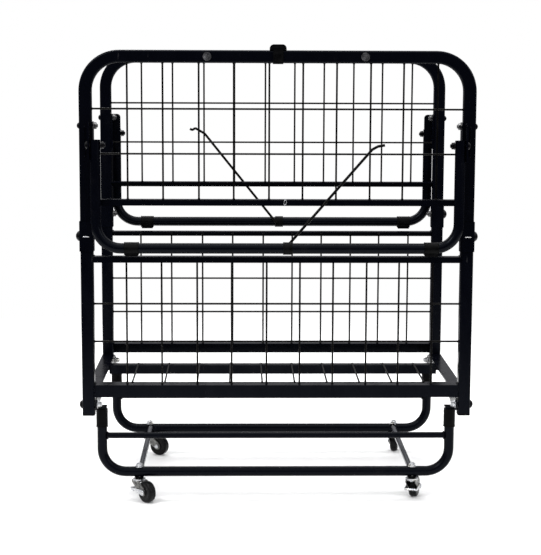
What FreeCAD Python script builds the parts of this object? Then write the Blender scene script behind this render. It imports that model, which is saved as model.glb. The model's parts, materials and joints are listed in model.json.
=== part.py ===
import FreeCAD, Part
import math
import os
import re
import Sketcher
from FreeCAD import Placement, Rotation, Vector

# Folding rollaway bed frame on casters, shown folded, in millimetres.
# +X runs across the bed, +Y from one folded deck to the other and +Z is up.
# The origin lies on the floor, below the middle of the folded bed.
# The rear deck and its leg are the front ones turned half a turn about Z, except for the mesh
# wires, the foot sleeves and the brace rod, which sit at their own places.

doc = FreeCAD.newDocument("RollawayBed")
sheet = doc.addObject("Spreadsheet::Sheet", "Sizes")

DIMENSIONS = {
    # folded decks
    "bed_width": 787.0,
    "deck_top": 924.0,
    "pivot_height": 211.5,
    "pivot_reach": 236.0,
    "tube_side": 25.0,
    "tube_wall": 1.5,
    "tube_round": 4.0,
    "loop_bend": 68.0,
    "rail_foot": 190.0,
    "cap_height": 4.0,
    "cap_plug": 8.0,
    "joint_height": 555.0,
    "joint_gap": 8.0,
    "sleeve_height": 60.0,
    "sleeve_wall": 2.0,
    "slip_gap": 0.05,
    "bar_upper_top": 629.0,
    "bar_middle_top": 514.5,
    "bar_bottom_top": 253.0,
    "bar_depth": 22.0,
    "bar_gauge": 2.5,
    "slim_bar_face": 12.0,
    "bottom_bar_face": 25.0,
    # mesh wires
    "wire_size": 3.8,
    "upper_shift": 4.0,
    "wire_1": -303.0,
    "wire_2": -232.5,
    "wire_3": -161.0,
    "wire_4": -91.5,
    "wire_5": -21.0,
    "wire_6": 46.0,
    "wire_7": 113.0,
    "wire_8": 180.5,
    "wire_9": 246.0,
    "wire_10": 314.0,
    "upper_wire_high": 808.5,
    "upper_wire_low": 719.5,
    "front_wire_high": 418.0,
    "front_wire_low": 341.0,
    "rear_wire_high": 405.0,
    "rear_wire_low": 326.5,
    "frame_wire_pitch": 68.6,
    "frame_wire_first": 302.0,
    # fasteners
    "bolt_radius": 4.0,
    "dome_radius": 9.8,
    "splice_dome": 12.0,
    "hanger_dome": 7.0,
    "dome_seat": 0.8660254,
    "washer_gauge": 1.5,
    "nut_size": 6.6,
    "nut_height": 6.0,
    "screw_left": 140.0,
    "screw_right": 172.0,
    "screw_head": 8.5,
    "screw_proud": 3.0,
    # legs and their hangers
    "leg_tube": 21.0,
    "leg_wall": 1.5,
    "leg_centre": 360.0,
    "leg_offset": 31.5,
    "leg_pivot": 738.0,
    "leg_bar_height": 534.0,
    "leg_bend": 48.5,
    "hanger_low": 706.0,
    "hanger_high": 783.0,
    "hanger_bolt": 775.0,
    "hanger_gauge": 3.0,
    "wing_out": 374.0,
    "front_wall_in": 365.5,
    "rear_wall_in": 349.0,
    "wall_round": 8.0,
    "foot_left": 290.0,
    "foot_right": 306.0,
    "foot_length": 29.0,
    "foot_radius": 12.4,
    "foot_taper": 2.0,
    "foot_half": 9.0,
    "foot_drop": 15.5,
    "bend_room": 0.25,
    "bend_rise": 0.85,
    "bend_over": 1.0,
    "running_gap": 0.06,
    # brace rods
    "rod_size": 5.5,
    "rod_bend": 5.0,
    "front_collar": 20.0,
    "rear_collar": -16.0,
    "collar_length": 18.0,
    "collar_radius": 12.4,
    # clip on the front loop
    "clip_width": 33.0,
    "clip_rise": 9.5,
    "clip_round": 8.0,
    "clip_band": 2.0,
    "clip_band_half": 10.0,
    # centre frame
    "frame_top": 228.0,
    "angle_side": 28.0,
    "angle_gauge": 3.0,
    "flange_reach": 222.0,
    "side_leg_reach": 208.0,
    "cross_reach": 92.0,
    "cross_face": 20.0,
    "cross_flange": 24.0,
    # base frames
    "base_tube": 20.5,
    "base_wall": 1.8,
    "base_width": 738.0,
    "base_reach": 193.5,
    "base_bar_height": 60.0,
    "base_top": 186.0,
    "base_bend": 48.5,
    "base_cap_low": 155.0,
    "base_cap_radius": 12.0,
    "base_cap_top": 195.5,
    "base_cap_round": 2.5,
    "crossbar_height": 136.5,
    "crossbar_size": 12.5,
    "spacer_x": 280.5,
    "spacer_height": 64.0,
    "spacer_size": 12.5,
    # pivot brackets
    "bracket_gauge": 3.0,
    "bracket_in": 364.5,
    "bracket_tab": 12.0,
    "bracket_tab_depth": 16.0,
    "bracket_neck": 95.0,
    "bracket_nose": 17.0,
    "bracket_bow": 35.0,
    "pivot_pin": 5.0,
    "lug_radius": 13.0,
    # casters
    "stem_x": 283.0,
    "stem_radius": 4.0,
    "stem_top": 76.5,
    "stem_low": 38.0,
    "rivet_radius": 5.5,
    "bearing_gap": 0.4,
    "race_radius": 13.0,
    "race_gauge": 2.0,
    "cup_low_radius": 8.0,
    "cup_high_radius": 10.0,
    "plate_low": 41.0,
    "plate_high": 43.0,
    "plate_radius": 12.5,
    "wheel_radius": 22.0,
    "wheel_width": 17.0,
    "wheel_round": 4.5,
    "trail": 26.0,
    "axle_radius": 3.0,
    "cheek_gap": 0.8,
    "cheek_gauge": 1.8,
    "cheek_boss": 7.5,
    "cheek_back": 11.5,
    "brake_gap": 0.5,
    "brake_gauge": 1.6,
    "brake_eye": 6.0,
    "brake_arm": 38.0,
    "pedal_length": 8.0,
    "pedal_width": 18.0,
    "pedal_angle": 14.0,
}
for line_number, (alias, value) in enumerate(DIMENSIONS.items(), start=1):
    sheet.set("A%d" % line_number, alias)
    sheet.set("B%d" % line_number, str(value))
    sheet.setAlias("B%d" % line_number, alias)
doc.recompute()

SIDES = (("left", -1), ("right", 1))
DECKS = (("front", 0.0, -1), ("rear", 180.0, 1))
X_AXIS = Rotation(Vector(0, 1, 0), 90)
Y_AXIS = Rotation(Vector(1, 0, 0), -90)
Z_AXIS = Rotation()
parts = []


def size(formula):
    """Value of a formula made of the sheet's names."""
    value = sheet.evalExpression(re.sub(r"[a-z]\w+", lambda word: "Sizes." + word.group(0), str(formula)))
    return float(getattr(value, "Value", value))


def bind(item, target, formula):
    """Tie one property of a document object to a formula made of the sheet's names."""
    item.setExpression(target, re.sub(r"[a-z]\w+", lambda word: "Sizes." + word.group(0), str(formula)))


def put_at(item, x=0, y=0, z=0, rotation=Z_AXIS):
    """Turn an object and bind its place."""
    item.Placement = Placement(Vector(size(x), size(y), size(z)), rotation)
    for axis, formula in (("x", x), ("y", y), ("z", z)):
        bind(item, ".Placement.Base." + axis, formula)
    return item


def part_of_bed(item, label, placement=None):
    """Name a finished sub-part and place it."""
    item.Label = label
    if placement is not None:
        item.Placement = placement
    parts.append(item)
    return item


def turned(angle):
    """Half-turn placement that makes the rear twin of a front sub-part."""
    return Placement(Vector(), Rotation(Vector(0, 0, 1), angle))


# ---------------------------------------------------------------- solids by primitives


def box(low, high):
    """Box between two corners, each a triple of formulas."""
    item = doc.addObject("Part::Box", "Block")
    for name, axis in (("Length", 0), ("Width", 1), ("Height", 2)):
        bind(item, name, "(%s) - (%s)" % (high[axis], low[axis]))
    return put_at(item, *low)


def rod(radius, length, x=0, y=0, z=0, rotation=Z_AXIS):
    """Round bar that starts at a place and runs along the rotated Z axis."""
    item = doc.addObject("Part::Cylinder", "Round")
    bind(item, "Radius", radius)
    bind(item, "Height", length)
    return put_at(item, x, y, z, rotation)


def dome(radius, x, y, z, rotation):
    """Low dome, half as high as its sphere's radius, whose flat face passes through a place."""
    item = doc.addObject("Part::Sphere", "Dome")
    item.Angle1 = 30
    bind(item, "Radius", radius)
    offset = rotation.multVec(Vector(0, 0, size(radius) / 2))
    item.Placement = Placement(Vector(size(x), size(y), size(z)) - offset, rotation)
    return item


def nut(x, y, z, rotation):
    """Hexagonal nut standing on the given place."""
    item = doc.addObject("Part::Prism", "Nut")
    item.Polygon = 6
    bind(item, "Circumradius", "nut_size")
    bind(item, "Height", "nut_height")
    return put_at(item, x, y, z, rotation)


def fuse(items):
    item = doc.addObject("Part::MultiFuse", "Joined")
    item.Shapes = items
    return item


def cut(base, tools):
    item = doc.addObject("Part::Cut", "Bored")
    item.Base = base
    item.Tool = tools[0] if len(tools) == 1 else fuse(tools)
    return item


def group(items):
    item = doc.addObject("Part::Compound", "Set")
    item.Links = items
    return item


def pipe_ring(outer, inner, length, x, y, z, rotation):
    """Hollow round piece."""
    return cut(rod(outer, length, x, y, z, rotation), [rod(inner, length, x, y, z, rotation)])


def side_bolt(sign, head, end, y, z, radius, head_size="dome_radius"):
    """Bolt along X: washer and dome head outside at `head`, hexagonal nut inside from `end`."""
    outward = Rotation(Vector(0, 1, 0), 90 * sign)
    shank = rod(radius, "(%s) - (%s)" % (head, end), "%d * (%s)" % (sign, end), y, z, outward)
    washer = rod("%s * dome_seat" % head_size, "washer_gauge", "%d * (%s)" % (sign, head), y, z, outward)
    head_dome = dome(head_size, "%d * ((%s) + washer_gauge)" % (sign, head), y, z, outward)
    inner_nut = nut("%d * ((%s) - nut_height)" % (sign, end), y, z, outward)
    return fuse([shank, washer, head_dome, inner_nut])


# ---------------------------------------------------------------- solids by sketches


def new_body(name):
    return doc.addObject("PartDesign::Body", name)


def plane_sketch(body, role, name):
    """Sketch lying on one of the body's own origin planes."""
    sketch = body.newObject("Sketcher::SketchObject", name)
    plane = [item for item in body.Origin.OriginFeatures if item.Role == role][0]
    sketch.AttachmentSupport = [(plane, "")]
    sketch.MapMode = "FlatFace"
    return sketch


def shift_sketch(sketch, x=0, y=0, z=0):
    sketch.AttachmentOffset = Placement(Vector(size(x), size(y), size(z)), Rotation())
    for axis, formula in (("x", x), ("y", y), ("z", z)):
        bind(sketch, ".AttachmentOffset.Base." + axis, formula)


def bound(sketch, constraint, formula):
    """Add a dimension to a sketch and tie it to a formula."""
    index = sketch.addConstraint(constraint)
    bind(sketch, "Constraints[%d]" % index, formula)


def circle(sketch, radius, x=0, y=0):
    """Circle whose centre is dimensioned from the origin when it lies off it."""
    edge = sketch.addGeometry(Part.Circle(Vector(size(x), size(y), 0), Vector(0, 0, 1), size(radius)))
    bound(sketch, Sketcher.Constraint("Radius", edge, size(radius)), radius)
    if x == 0 and y == 0:
        sketch.addConstraint(Sketcher.Constraint("Coincident", edge, 3, -1, 1))
        return
    if x == 0:
        sketch.addConstraint(Sketcher.Constraint("PointOnObject", edge, 3, -2))
    else:
        bound(sketch, Sketcher.Constraint("DistanceX", -1, 1, edge, 3, size(x)), x)
    bound(sketch, Sketcher.Constraint("DistanceY", -1, 1, edge, 3, size(y)), y)


def rounded_square(sketch, side, corner):
    """Square with round corners, centred on the sketch's origin."""
    half = size(side) / 2
    bend = size(corner)
    first = sketch.GeometryCount
    for quarter in range(4):
        spin = Rotation(Vector(0, 0, 1), 90 * quarter)
        start = spin.multVec(Vector(bend - half, -half, 0))
        end = spin.multVec(Vector(half - bend, -half, 0))
        centre = spin.multVec(Vector(half - bend, bend - half, 0))
        sketch.addGeometry(Part.LineSegment(start, end))
        base_angle = math.radians(90 * quarter - 90)
        arc_circle = Part.Circle(centre, Vector(0, 0, 1), bend)
        sketch.addGeometry(Part.ArcOfCircle(arc_circle, base_angle, base_angle + math.pi / 2))
    for step in range(8):
        this_edge = first + step
        next_edge = first + (step + 1) % 8
        sketch.addConstraint(Sketcher.Constraint("Tangent", this_edge, 2, next_edge, 1))
    for step, kind in enumerate(("Horizontal", "Vertical", "Horizontal", "Vertical")):
        sketch.addConstraint(Sketcher.Constraint(kind, first + 2 * step))
    for step in range(3):
        sketch.addConstraint(Sketcher.Constraint("Equal", first + 1, first + 3 + 2 * step))
    sketch.addConstraint(Sketcher.Constraint("Symmetric", first, 1, first + 4, 1, -1, 1))
    bound(sketch, Sketcher.Constraint("Radius", first + 1, bend), corner)
    bound(sketch, Sketcher.Constraint("DistanceY", first, 1, first + 4, 1, 2 * half), side)
    bound(sketch, Sketcher.Constraint("DistanceX", first + 6, 1, first + 2, 1, 2 * half), side)


def bent_path(sketch, half_width, free_end, bar, bend):
    """U-shaped path: two upright runs from `free_end` to a crosswise run at `bar`."""
    reach, start, turn, radius = (size(value) for value in (half_width, free_end, bar, bend))
    up = 1 if turn > start else -1
    corner = turn - up * radius
    quarter = math.pi / 2
    left_arc = (quarter, 2 * quarter) if up > 0 else (2 * quarter, 3 * quarter)
    right_arc = (0, quarter) if up > 0 else (3 * quarter, 4 * quarter)
    sketch.addGeometry(Part.LineSegment(Vector(-reach, start, 0), Vector(-reach, corner, 0)))
    for side, arc in ((-1, left_arc), (1, right_arc)):
        circle_at = Part.Circle(Vector(side * (reach - radius), corner, 0), Vector(0, 0, 1), radius)
        sketch.addGeometry(Part.ArcOfCircle(circle_at, *arc))
    sketch.addGeometry(Part.LineSegment(Vector(radius - reach, turn, 0), Vector(reach - radius, turn, 0)))
    sketch.addGeometry(Part.LineSegment(Vector(reach, corner, 0), Vector(reach, start, 0)))
    side_left, arc_left, arc_right, crosswise, side_right = range(5)
    left_end, left_start = (1, 2) if up > 0 else (2, 1)
    right_start, right_end = (2, 1) if up > 0 else (1, 2)
    joints = (
        (side_left, 2, arc_left, left_start),
        (arc_left, left_end, crosswise, 1),
        (crosswise, 2, arc_right, right_start),
        (arc_right, right_end, side_right, 1),
    )
    for joint in joints:
        sketch.addConstraint(Sketcher.Constraint("Tangent", *joint))
    sketch.addConstraint(Sketcher.Constraint("Vertical", side_left))
    sketch.addConstraint(Sketcher.Constraint("Horizontal", crosswise))
    sketch.addConstraint(Sketcher.Constraint("Symmetric", side_left, 1, side_right, 2, -2))
    sketch.addConstraint(Sketcher.Constraint("Equal", arc_left, arc_right))
    bound(sketch, Sketcher.Constraint("Radius", arc_left, radius), bend)
    span = Sketcher.Constraint("DistanceX", side_left, 1, side_right, 2, 2 * reach)
    bound(sketch, span, "2 * (%s)" % half_width)
    bound(sketch, Sketcher.Constraint("DistanceY", -1, 1, side_left, 1, start), free_end)
    bound(sketch, Sketcher.Constraint("DistanceY", -1, 1, crosswise, 1, turn), bar)


def bent_tube(name, profile_edges, half_width, free_end, bar, bend):
    """Hollow tube swept along a U-shaped path in the body's XZ plane."""
    body = new_body(name)
    path = plane_sketch(body, "XZ_Plane", name + "Path")
    bent_path(path, half_width, free_end, bar, bend)
    profile = plane_sketch(body, "XY_Plane", name + "Profile")
    profile_edges(profile)
    shift_sketch(profile, "-(%s)" % half_width, 0, free_end)
    doc.recompute()
    pipe = body.newObject("PartDesign::AdditivePipe", name + "Pipe")
    pipe.Profile = profile
    pipe.Spine = path
    doc.recompute()
    return body


def square_ring(side, wall, corner):
    """Profile maker for a square tube with round corners."""

    def draw(sketch):
        rounded_square(sketch, side, corner)
        rounded_square(sketch, "(%s) - 2 * (%s)" % (side, wall), "(%s) - (%s)" % (corner, wall))

    return draw


def round_ring(diameter, wall):
    """Profile maker for a round tube."""

    def draw(sketch):
        circle(sketch, "(%s) / 2" % diameter)
        circle(sketch, "(%s) / 2 - (%s)" % (diameter, wall))

    return draw


def bore(body, role, name, circles):
    """Drill through the whole body, square to an origin plane, and check that it cut."""
    before = body.Shape.Volume
    sketch = plane_sketch(body, role, name + "Sketch")
    for radius, x, y in circles:
        circle(sketch, radius, x, y)
    doc.recompute()
    pocket = body.newObject("PartDesign::Pocket", name)
    pocket.Profile = sketch
    pocket.Type = "ThroughAll"
    pocket.Midplane = True
    doc.recompute()
    if body.Shape.Volume >= before:
        raise RuntimeError("hole cut nothing: " + name)


def mirror_across_x(body, name, feature):
    """Second copy of a feature on the other side of the YZ plane."""
    plane = [item for item in body.Origin.OriginFeatures if item.Role == "YZ_Plane"][0]
    mirrored = body.newObject("PartDesign::Mirrored", name)
    mirrored.Originals = [feature]
    mirrored.MirrorPlane = (plane, [""])
    body.Tip = mirrored
    doc.recompute()


def twin_posts(name, draw, x, low, high):
    """Two upright extrusions, one on each side of the bed."""
    body = new_body(name)
    body.AllowCompound = True
    profile = plane_sketch(body, "XY_Plane", name + "Profile")
    draw(profile)
    shift_sketch(profile, "-(%s)" % x, 0, low)
    pad = body.newObject("PartDesign::Pad", name + "Pad")
    pad.Profile = profile
    bind(pad, "Length", "(%s) - (%s)" % (high, low))
    doc.recompute()
    mirror_across_x(body, name + "Twin", pad)
    return body


def place_deck_body(body, label, turn):
    """Put a body that was drawn in the XZ plane into the folded deck's plane."""
    spin = Rotation(Vector(0, 0, 1), turn)
    sign = -1 if turn == 0 else 1
    body.Placement = Placement(Vector(0, sign * size("pivot_reach"), 0), spin)
    bind(body, ".Placement.Base.y", "%d * pivot_reach" % sign)
    body.Label = label
    parts.append(body)


# ---------------------------------------------------------------- decks

TUBE_X = "(bed_width - tube_side) / 2"
TUBE_IN = "bed_width / 2 - tube_side"
DECK_FACE = "-pivot_reach - tube_side / 2"
LEG_Y = "-pivot_reach - leg_offset"
LOOP_END = "joint_height + joint_gap"
RAIL_END = "joint_height - joint_gap"


def deck_loop(end, turn):
    """Upper half of the deck's outline: one bent square tube."""
    ring = square_ring("tube_side", "tube_wall", "tube_round")
    name = end.title() + "Loop"
    body = bent_tube(name, ring, TUBE_X, LOOP_END, "deck_top - tube_side / 2", "loop_bend")
    bore(body, "YZ_Plane", name + "HangerHoles", [("bolt_radius + slip_gap", 0, "hanger_bolt")])
    place_deck_body(body, end + "_deck_loop", turn)


def deck_rails(end, turn):
    """Lower half of the outline: two straight square tubes with pivot holes."""
    ring = square_ring("tube_side", "tube_wall", "tube_round")
    name = end.title() + "Rails"
    body = twin_posts(name, ring, TUBE_X, "rail_foot + cap_height", RAIL_END)
    bore(body, "YZ_Plane", name + "PivotHoles", [("pivot_pin + running_gap", 0, "pivot_height")])
    place_deck_body(body, end + "_deck_rails", turn)


def joint_sleeves(end, turn):
    """Sleeves that splice the loop to the rails."""
    inside = "tube_side + 2 * slip_gap"

    def draw(sketch):
        rounded_square(sketch, "tube_side + 2 * sleeve_wall", "tube_round + sleeve_wall")
        rounded_square(sketch, inside, "tube_round + slip_gap")

    name = end.title() + "Sleeves"
    low = "joint_height - sleeve_height / 2"
    high = "joint_height + sleeve_height / 2"
    body = twin_posts(name, draw, TUBE_X, low, high)
    bore(body, "YZ_Plane", name + "Holes", [("bolt_radius + slip_gap", 0, "joint_height")])
    place_deck_body(body, end + "_joint_sleeves", turn)


def rail_caps(end, turn):
    """Plastic caps that close the rails' lower ends."""
    name = end.title() + "Caps"

    def draw_cap(sketch):
        rounded_square(sketch, "tube_side", "tube_round")

    body = twin_posts(name, draw_cap, TUBE_X, "rail_foot", "rail_foot + cap_height")
    plug = plane_sketch(body, "XY_Plane", name + "PlugSketch")
    rounded_square(plug, "tube_side - 2 * (tube_wall + slip_gap)", "tube_round - tube_wall - slip_gap")
    shift_sketch(plug, "-(%s)" % TUBE_X, 0, "rail_foot + cap_height / 2")
    pad = body.newObject("PartDesign::Pad", name + "Plug")
    pad.Profile = plug
    bind(pad, "Length", "cap_height / 2 + cap_plug")
    doc.recompute()
    mirror_across_x(body, name + "PlugTwin", pad)
    place_deck_body(body, end + "_rail_caps", turn)


def deck_bolts(end, turn):
    """Bolts of the two splices and of the two leg hangers."""
    y = "-pivot_reach"
    bolts = []
    for side, sign in SIDES:
        splice_head = "bed_width / 2 + sleeve_wall"
        splice_end = "bed_width / 2 - tube_side - sleeve_wall"
        splice = (sign, splice_head, splice_end, y, "joint_height", "bolt_radius", "splice_dome")
        bolts.append(side_bolt(*splice))
        hanger_end = "bed_width / 2 - tube_side - hanger_gauge"
        hanger = (sign, "bed_width / 2", hanger_end, y, "hanger_bolt", "bolt_radius", "hanger_dome")
        bolts.append(side_bolt(*hanger))
    part_of_bed(group(bolts), end + "_deck_bolts", turned(turn))


def angle_bar(half_length, front, top, face, depth, gauge, toward=1):
    """Angle bar along X: an upright face at `front` and a flange on top."""
    back = "(%s) + %d * (%s)" % (front, toward, depth)
    inner = "(%s) + %d * (%s)" % (front, toward, gauge)
    near, far = (front, back) if toward > 0 else (back, front)
    face_near, face_far = (front, inner) if toward > 0 else (inner, front)
    left = "-(%s)" % half_length
    flange = box((left, near, "(%s) - (%s)" % (top, gauge)), (half_length, far, top))
    upright = box((left, face_near, "(%s) - (%s)" % (top, face)), (half_length, face_far, top))
    return fuse([flange, upright])


def deck_bars(end, turn):
    """Two slim bars that end the upper mesh and start the lower mesh."""
    front = "%s + 1" % DECK_FACE
    bars = []
    for top in ("bar_upper_top", "bar_middle_top"):
        bars.append(angle_bar(TUBE_IN, front, top, "slim_bar_face", "bar_depth", "bar_gauge"))
    part_of_bed(group(bars), end + "_deck_bars", turned(turn))


def bottom_bar(end, turn):
    """Deep bar at the deck's pivot end."""
    front = "%s + 1" % DECK_FACE
    bar = angle_bar(TUBE_IN, front, "bar_bottom_top", "bottom_bar_face", "bar_depth", "angle_gauge")
    part_of_bed(bar, end + "_bottom_bar", turned(turn))


def wire_mesh(label, sign, low, high, cross_wires, shift):
    """Ten upright wires with cross wires welded to their outer side."""
    upright_y = "%d * (pivot_reach - wire_size)" % sign
    length = "(%s) - (%s)" % (high, low)
    wires = []
    for number in range(1, 11):
        wires.append(rod("wire_size / 2", length, "wire_%d + %s" % (number, shift), upright_y, low))
    for height, reach in cross_wires:
        across = "2 * (%s)" % reach
        wires.append(rod("wire_size / 2", across, "-(%s)" % reach, "%d * pivot_reach" % sign, height, X_AXIS))
    part_of_bed(group(wires), label)


def deck_meshes(end, sign):
    """Upper and lower sleeping meshes; one cross wire ends at the leg hangers' plates."""
    loop_under = "deck_top - tube_side"
    plate = "%s - hanger_gauge" % TUBE_IN
    upper_wires = (("upper_wire_high", TUBE_IN), ("upper_wire_low", plate))
    wire_mesh(end + "_mesh_upper", sign, "bar_upper_top", loop_under, upper_wires, "upper_shift")
    under_bar = "bar_middle_top - bar_gauge"
    lower_wires = ((end + "_wire_high", TUBE_IN), (end + "_wire_low", TUBE_IN))
    wire_mesh(end + "_mesh_lower", sign, "bar_bottom_top", under_bar, lower_wires, "0")


def signed_box(sign, inner, outer, y_span, z_span):
    """Box on one side of the bed, given by its distances from the middle."""
    near = "%d * (%s)" % (sign, inner)
    far = "%d * (%s)" % (sign, outer)
    low_x, high_x = (near, far) if sign > 0 else (far, near)
    return box((low_x, y_span[0], z_span[0]), (high_x, y_span[1], z_span[1]))


def leg_hangers(end, turn):
    """Formed plates bolted inside the loop, with a wing that carries the leg's pivot."""
    hangers = []
    height = ("hanger_low", "hanger_high")
    low_part = ("hanger_low", "hanger_high - wall_round")
    plate_in = "bed_width / 2 - tube_side - hanger_gauge"
    wall_in = end + "_wall_in"
    wing_in = "wing_out - hanger_gauge"
    wall_front = "%s - hanger_gauge" % DECK_FACE
    wing_front = "%s - leg_tube / 2" % LEG_Y
    for side, sign in SIDES:
        plate = signed_box(sign, plate_in, TUBE_IN, (wall_front, "-pivot_reach + tube_side / 2"), height)
        wall = signed_box(sign, wall_in, "wing_out", (wall_front, DECK_FACE), low_part)
        crest = signed_box(sign, wall_in + " + wall_round", "wing_out", (wall_front, DECK_FACE), height)
        corner_x = "%d * (%s + wall_round)" % (sign, wall_in)
        corner = rod("wall_round", "hanger_gauge", corner_x, wall_front, low_part[1], Y_AXIS)
        wing = signed_box(sign, wing_in, "wing_out", (wing_front, DECK_FACE), height)
        outward = Rotation(Vector(0, 1, 0), 90 * sign)
        start = "%d * (leg_centre - leg_tube)" % sign
        bolt_y = "-pivot_reach"
        bolt_hole = rod("bolt_radius + slip_gap", "2 * leg_tube", start, bolt_y, "hanger_bolt", outward)
        pin_hole = rod("bolt_radius", "2 * leg_tube", start, LEG_Y, "leg_pivot", outward)
        hangers.append(cut(fuse([plate, wall, crest, corner, wing]), [bolt_hole, pin_hole]))
    part_of_bed(group(hangers), end + "_leg_hangers", turned(turn))


def leg_pivot_bolts(end, turn):
    """Bolts that the leg swings on, held by the hangers' wings."""
    bolts = []
    leg_in = "leg_centre - leg_tube / 2 - 1"
    for side, sign in SIDES:
        bolts.append(side_bolt(sign, "wing_out", leg_in, LEG_Y, "leg_pivot", "bolt_radius"))
    part_of_bed(group(bolts), end + "_leg_pivot_bolts", turned(turn))


def loop_screws(end, turn):
    """Two pan-head screws in the loop's top bar."""
    height = "deck_top - tube_side / 2"
    screws = []
    for x in ("-screw_left", "screw_right"):
        head = rod("screw_head", "screw_proud", x, "%s - screw_proud" % DECK_FACE, height, Y_AXIS)
        screws.append(head)
    part_of_bed(group(screws), end + "_loop_screws", turned(turn))


def top_clip():
    """Plastic clip round the front loop's top bar, with a low rounded knob on top."""
    gap = "slip_gap"
    front = "%s - clip_band - %s" % (DECK_FACE, gap)
    back = "-pivot_reach + tube_side / 2 + clip_band + %s" % gap
    low = "deck_top - tube_side - clip_band - %s" % gap
    high = "deck_top + clip_band + %s" % gap
    band = box(("-clip_band_half", front, low), ("clip_band_half", back, high))
    inside_low = ("-clip_band_half", "%s - %s" % (DECK_FACE, gap), "deck_top - tube_side - %s" % gap)
    inside_high = ("clip_band_half", "-pivot_reach + tube_side / 2 + %s" % gap, "deck_top + %s" % gap)
    inside = box(inside_low, inside_high)
    knob_low = "deck_top + %s" % gap
    shoulder = "%s + clip_rise - clip_round" % high
    top = "%s + clip_rise" % high
    rear = "%s + tube_side" % DECK_FACE
    base = box(("-clip_width / 2", DECK_FACE, knob_low), ("clip_width / 2", rear, shoulder))
    crown_half = "(clip_width / 2 - clip_round)"
    crown = box(("-" + crown_half, DECK_FACE, knob_low), (crown_half, rear, top))
    ends = [rod("clip_round", "tube_side", x + crown_half, DECK_FACE, shoulder, Y_AXIS) for x in ("-", "")]
    under = box(("-clip_width", DECK_FACE, "deck_top - tube_side / 2"), ("clip_width", rear, knob_low))
    knob = cut(fuse([base, crown] + ends), [under])
    part_of_bed(fuse([cut(band, [inside]), knob]), "top_clip")


# ---------------------------------------------------------------- legs


def leg_frame(end, turn):
    """Swinging U-shaped leg, hung from its two pivot bolts."""
    ring = round_ring("leg_tube", "leg_wall")
    name = end.title() + "Leg"
    top = "leg_pivot + leg_tube / 2"
    body = bent_tube(name, ring, "leg_centre", top, "leg_bar_height", "leg_bend")
    bore(body, "YZ_Plane", name + "PivotHoles", [("bolt_radius + running_gap", 0, "leg_pivot")])
    sign = -1 if turn == 0 else 1
    reach = "pivot_reach + leg_offset"
    body.Placement = Placement(Vector(0, sign * size(reach), 0), Rotation(Vector(0, 0, 1), turn))
    bind(body, ".Placement.Base.y", "%d * (%s)" % (sign, reach))
    body.Label = end + "_leg_frame"
    parts.append(body)


def bend_rooms():
    """Tools that widen a foot's bore upward where the leg's bend starts inside it."""
    straight = "leg_centre - leg_bend"
    sleeve_end = "foot_right + foot_length / 2 + bend_over"
    length = "%s - (%s)" % (sleeve_end, straight)
    rooms = []
    for start in (straight, "-(%s)" % sleeve_end):
        place = (start, LEG_Y, "leg_bar_height + bend_rise", X_AXIS)
        rooms.append(rod("leg_tube / 2 + bend_room", length, *place))
    return rooms


def leg_feet(end, turn):
    """Rubber sleeves on the leg's bottom bar, each with a block below that narrows downward."""
    feet = []
    for x in ("-foot_left", "foot_right"):
        middle = "%d * (%s)" % (1 if turn == 0 else -1, x)
        start = "%s - foot_length / 2" % middle
        outer = rod("foot_radius", "foot_length", start, LEG_Y, "leg_bar_height", X_AXIS)
        inner = rod("leg_tube / 2 + slip_gap", "foot_length", start, LEG_Y, "leg_bar_height", X_AXIS)
        near = "%s - foot_half" % LEG_Y
        far = "%s + foot_half" % LEG_Y
        step = "leg_bar_height - foot_radius"
        start_low = "%s + foot_taper" % start
        end_low = "%s + foot_length - foot_taper" % start
        neck = box((start, near, step), ("%s + foot_length" % start, far, "leg_bar_height"))
        block = box((start_low, near, "leg_bar_height - foot_drop"), (end_low, far, "leg_bar_height"))
        feet.append(cut(fuse([outer, neck, block]), [inner] + bend_rooms()))
    part_of_bed(group(feet), end + "_leg_feet", turned(turn))


def rod_collar(end, turn):
    """Clip round the leg's bottom bar that holds the brace rod."""
    start = "%s_collar - collar_length / 2" % end
    place = (start, LEG_Y, "leg_bar_height", X_AXIS)
    ring = pipe_ring("collar_radius", "leg_tube / 2 + slip_gap", "collar_length", *place)
    part_of_bed(ring, end + "_rod_collar", turned(turn))


# Corners of each brace rod as (across, up), from its collar to its hooked end.
BRACE_CORNERS = {
    "front": ((15, 532), (187, 730), (198, 736), (212, 738.5)),
    "rear": ((-10, 532), (156, 738), (178, 751), (184, 746), (190, 749)),
}


def brace_rod(end, turn):
    """Diagonal rod from the collar to a hook beside the upper mesh."""
    name = end.title() + "Brace"
    body = new_body(name)
    points = [Vector(across, up, 0) for across, up in BRACE_CORNERS[end]]
    path = plane_sketch(body, "XZ_Plane", name + "Path")
    draw_filleted(path, points, size("rod_bend"))
    profile = plane_sketch(body, "XZ_Plane", name + "Profile")
    along = Vector(points[1].x - points[0].x, 0, points[1].y - points[0].y)
    facing = Rotation(Vector(0, 0, 1), along)
    body_plane = Rotation(Vector(1, 0, 0), 90)
    profile.AttachmentOffset = Placement(points[0], body_plane.inverted().multiply(facing))
    circle(profile, "rod_size / 2")
    doc.recompute()
    pipe = body.newObject("PartDesign::AdditivePipe", name + "Pipe")
    pipe.Profile = profile
    pipe.Spine = path
    doc.recompute()
    sign = -1 if turn == 0 else 1
    reach = "pivot_reach + leg_offset - leg_tube / 2 - rod_size / 2 - slip_gap"
    body.Placement = Placement(Vector(0, sign * size(reach), 0), Rotation(Vector(0, 0, 1), turn))
    bind(body, ".Placement.Base.y", "%d * (%s)" % (sign, reach))
    body.Label = end + "_brace_rod"
    parts.append(body)


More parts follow.
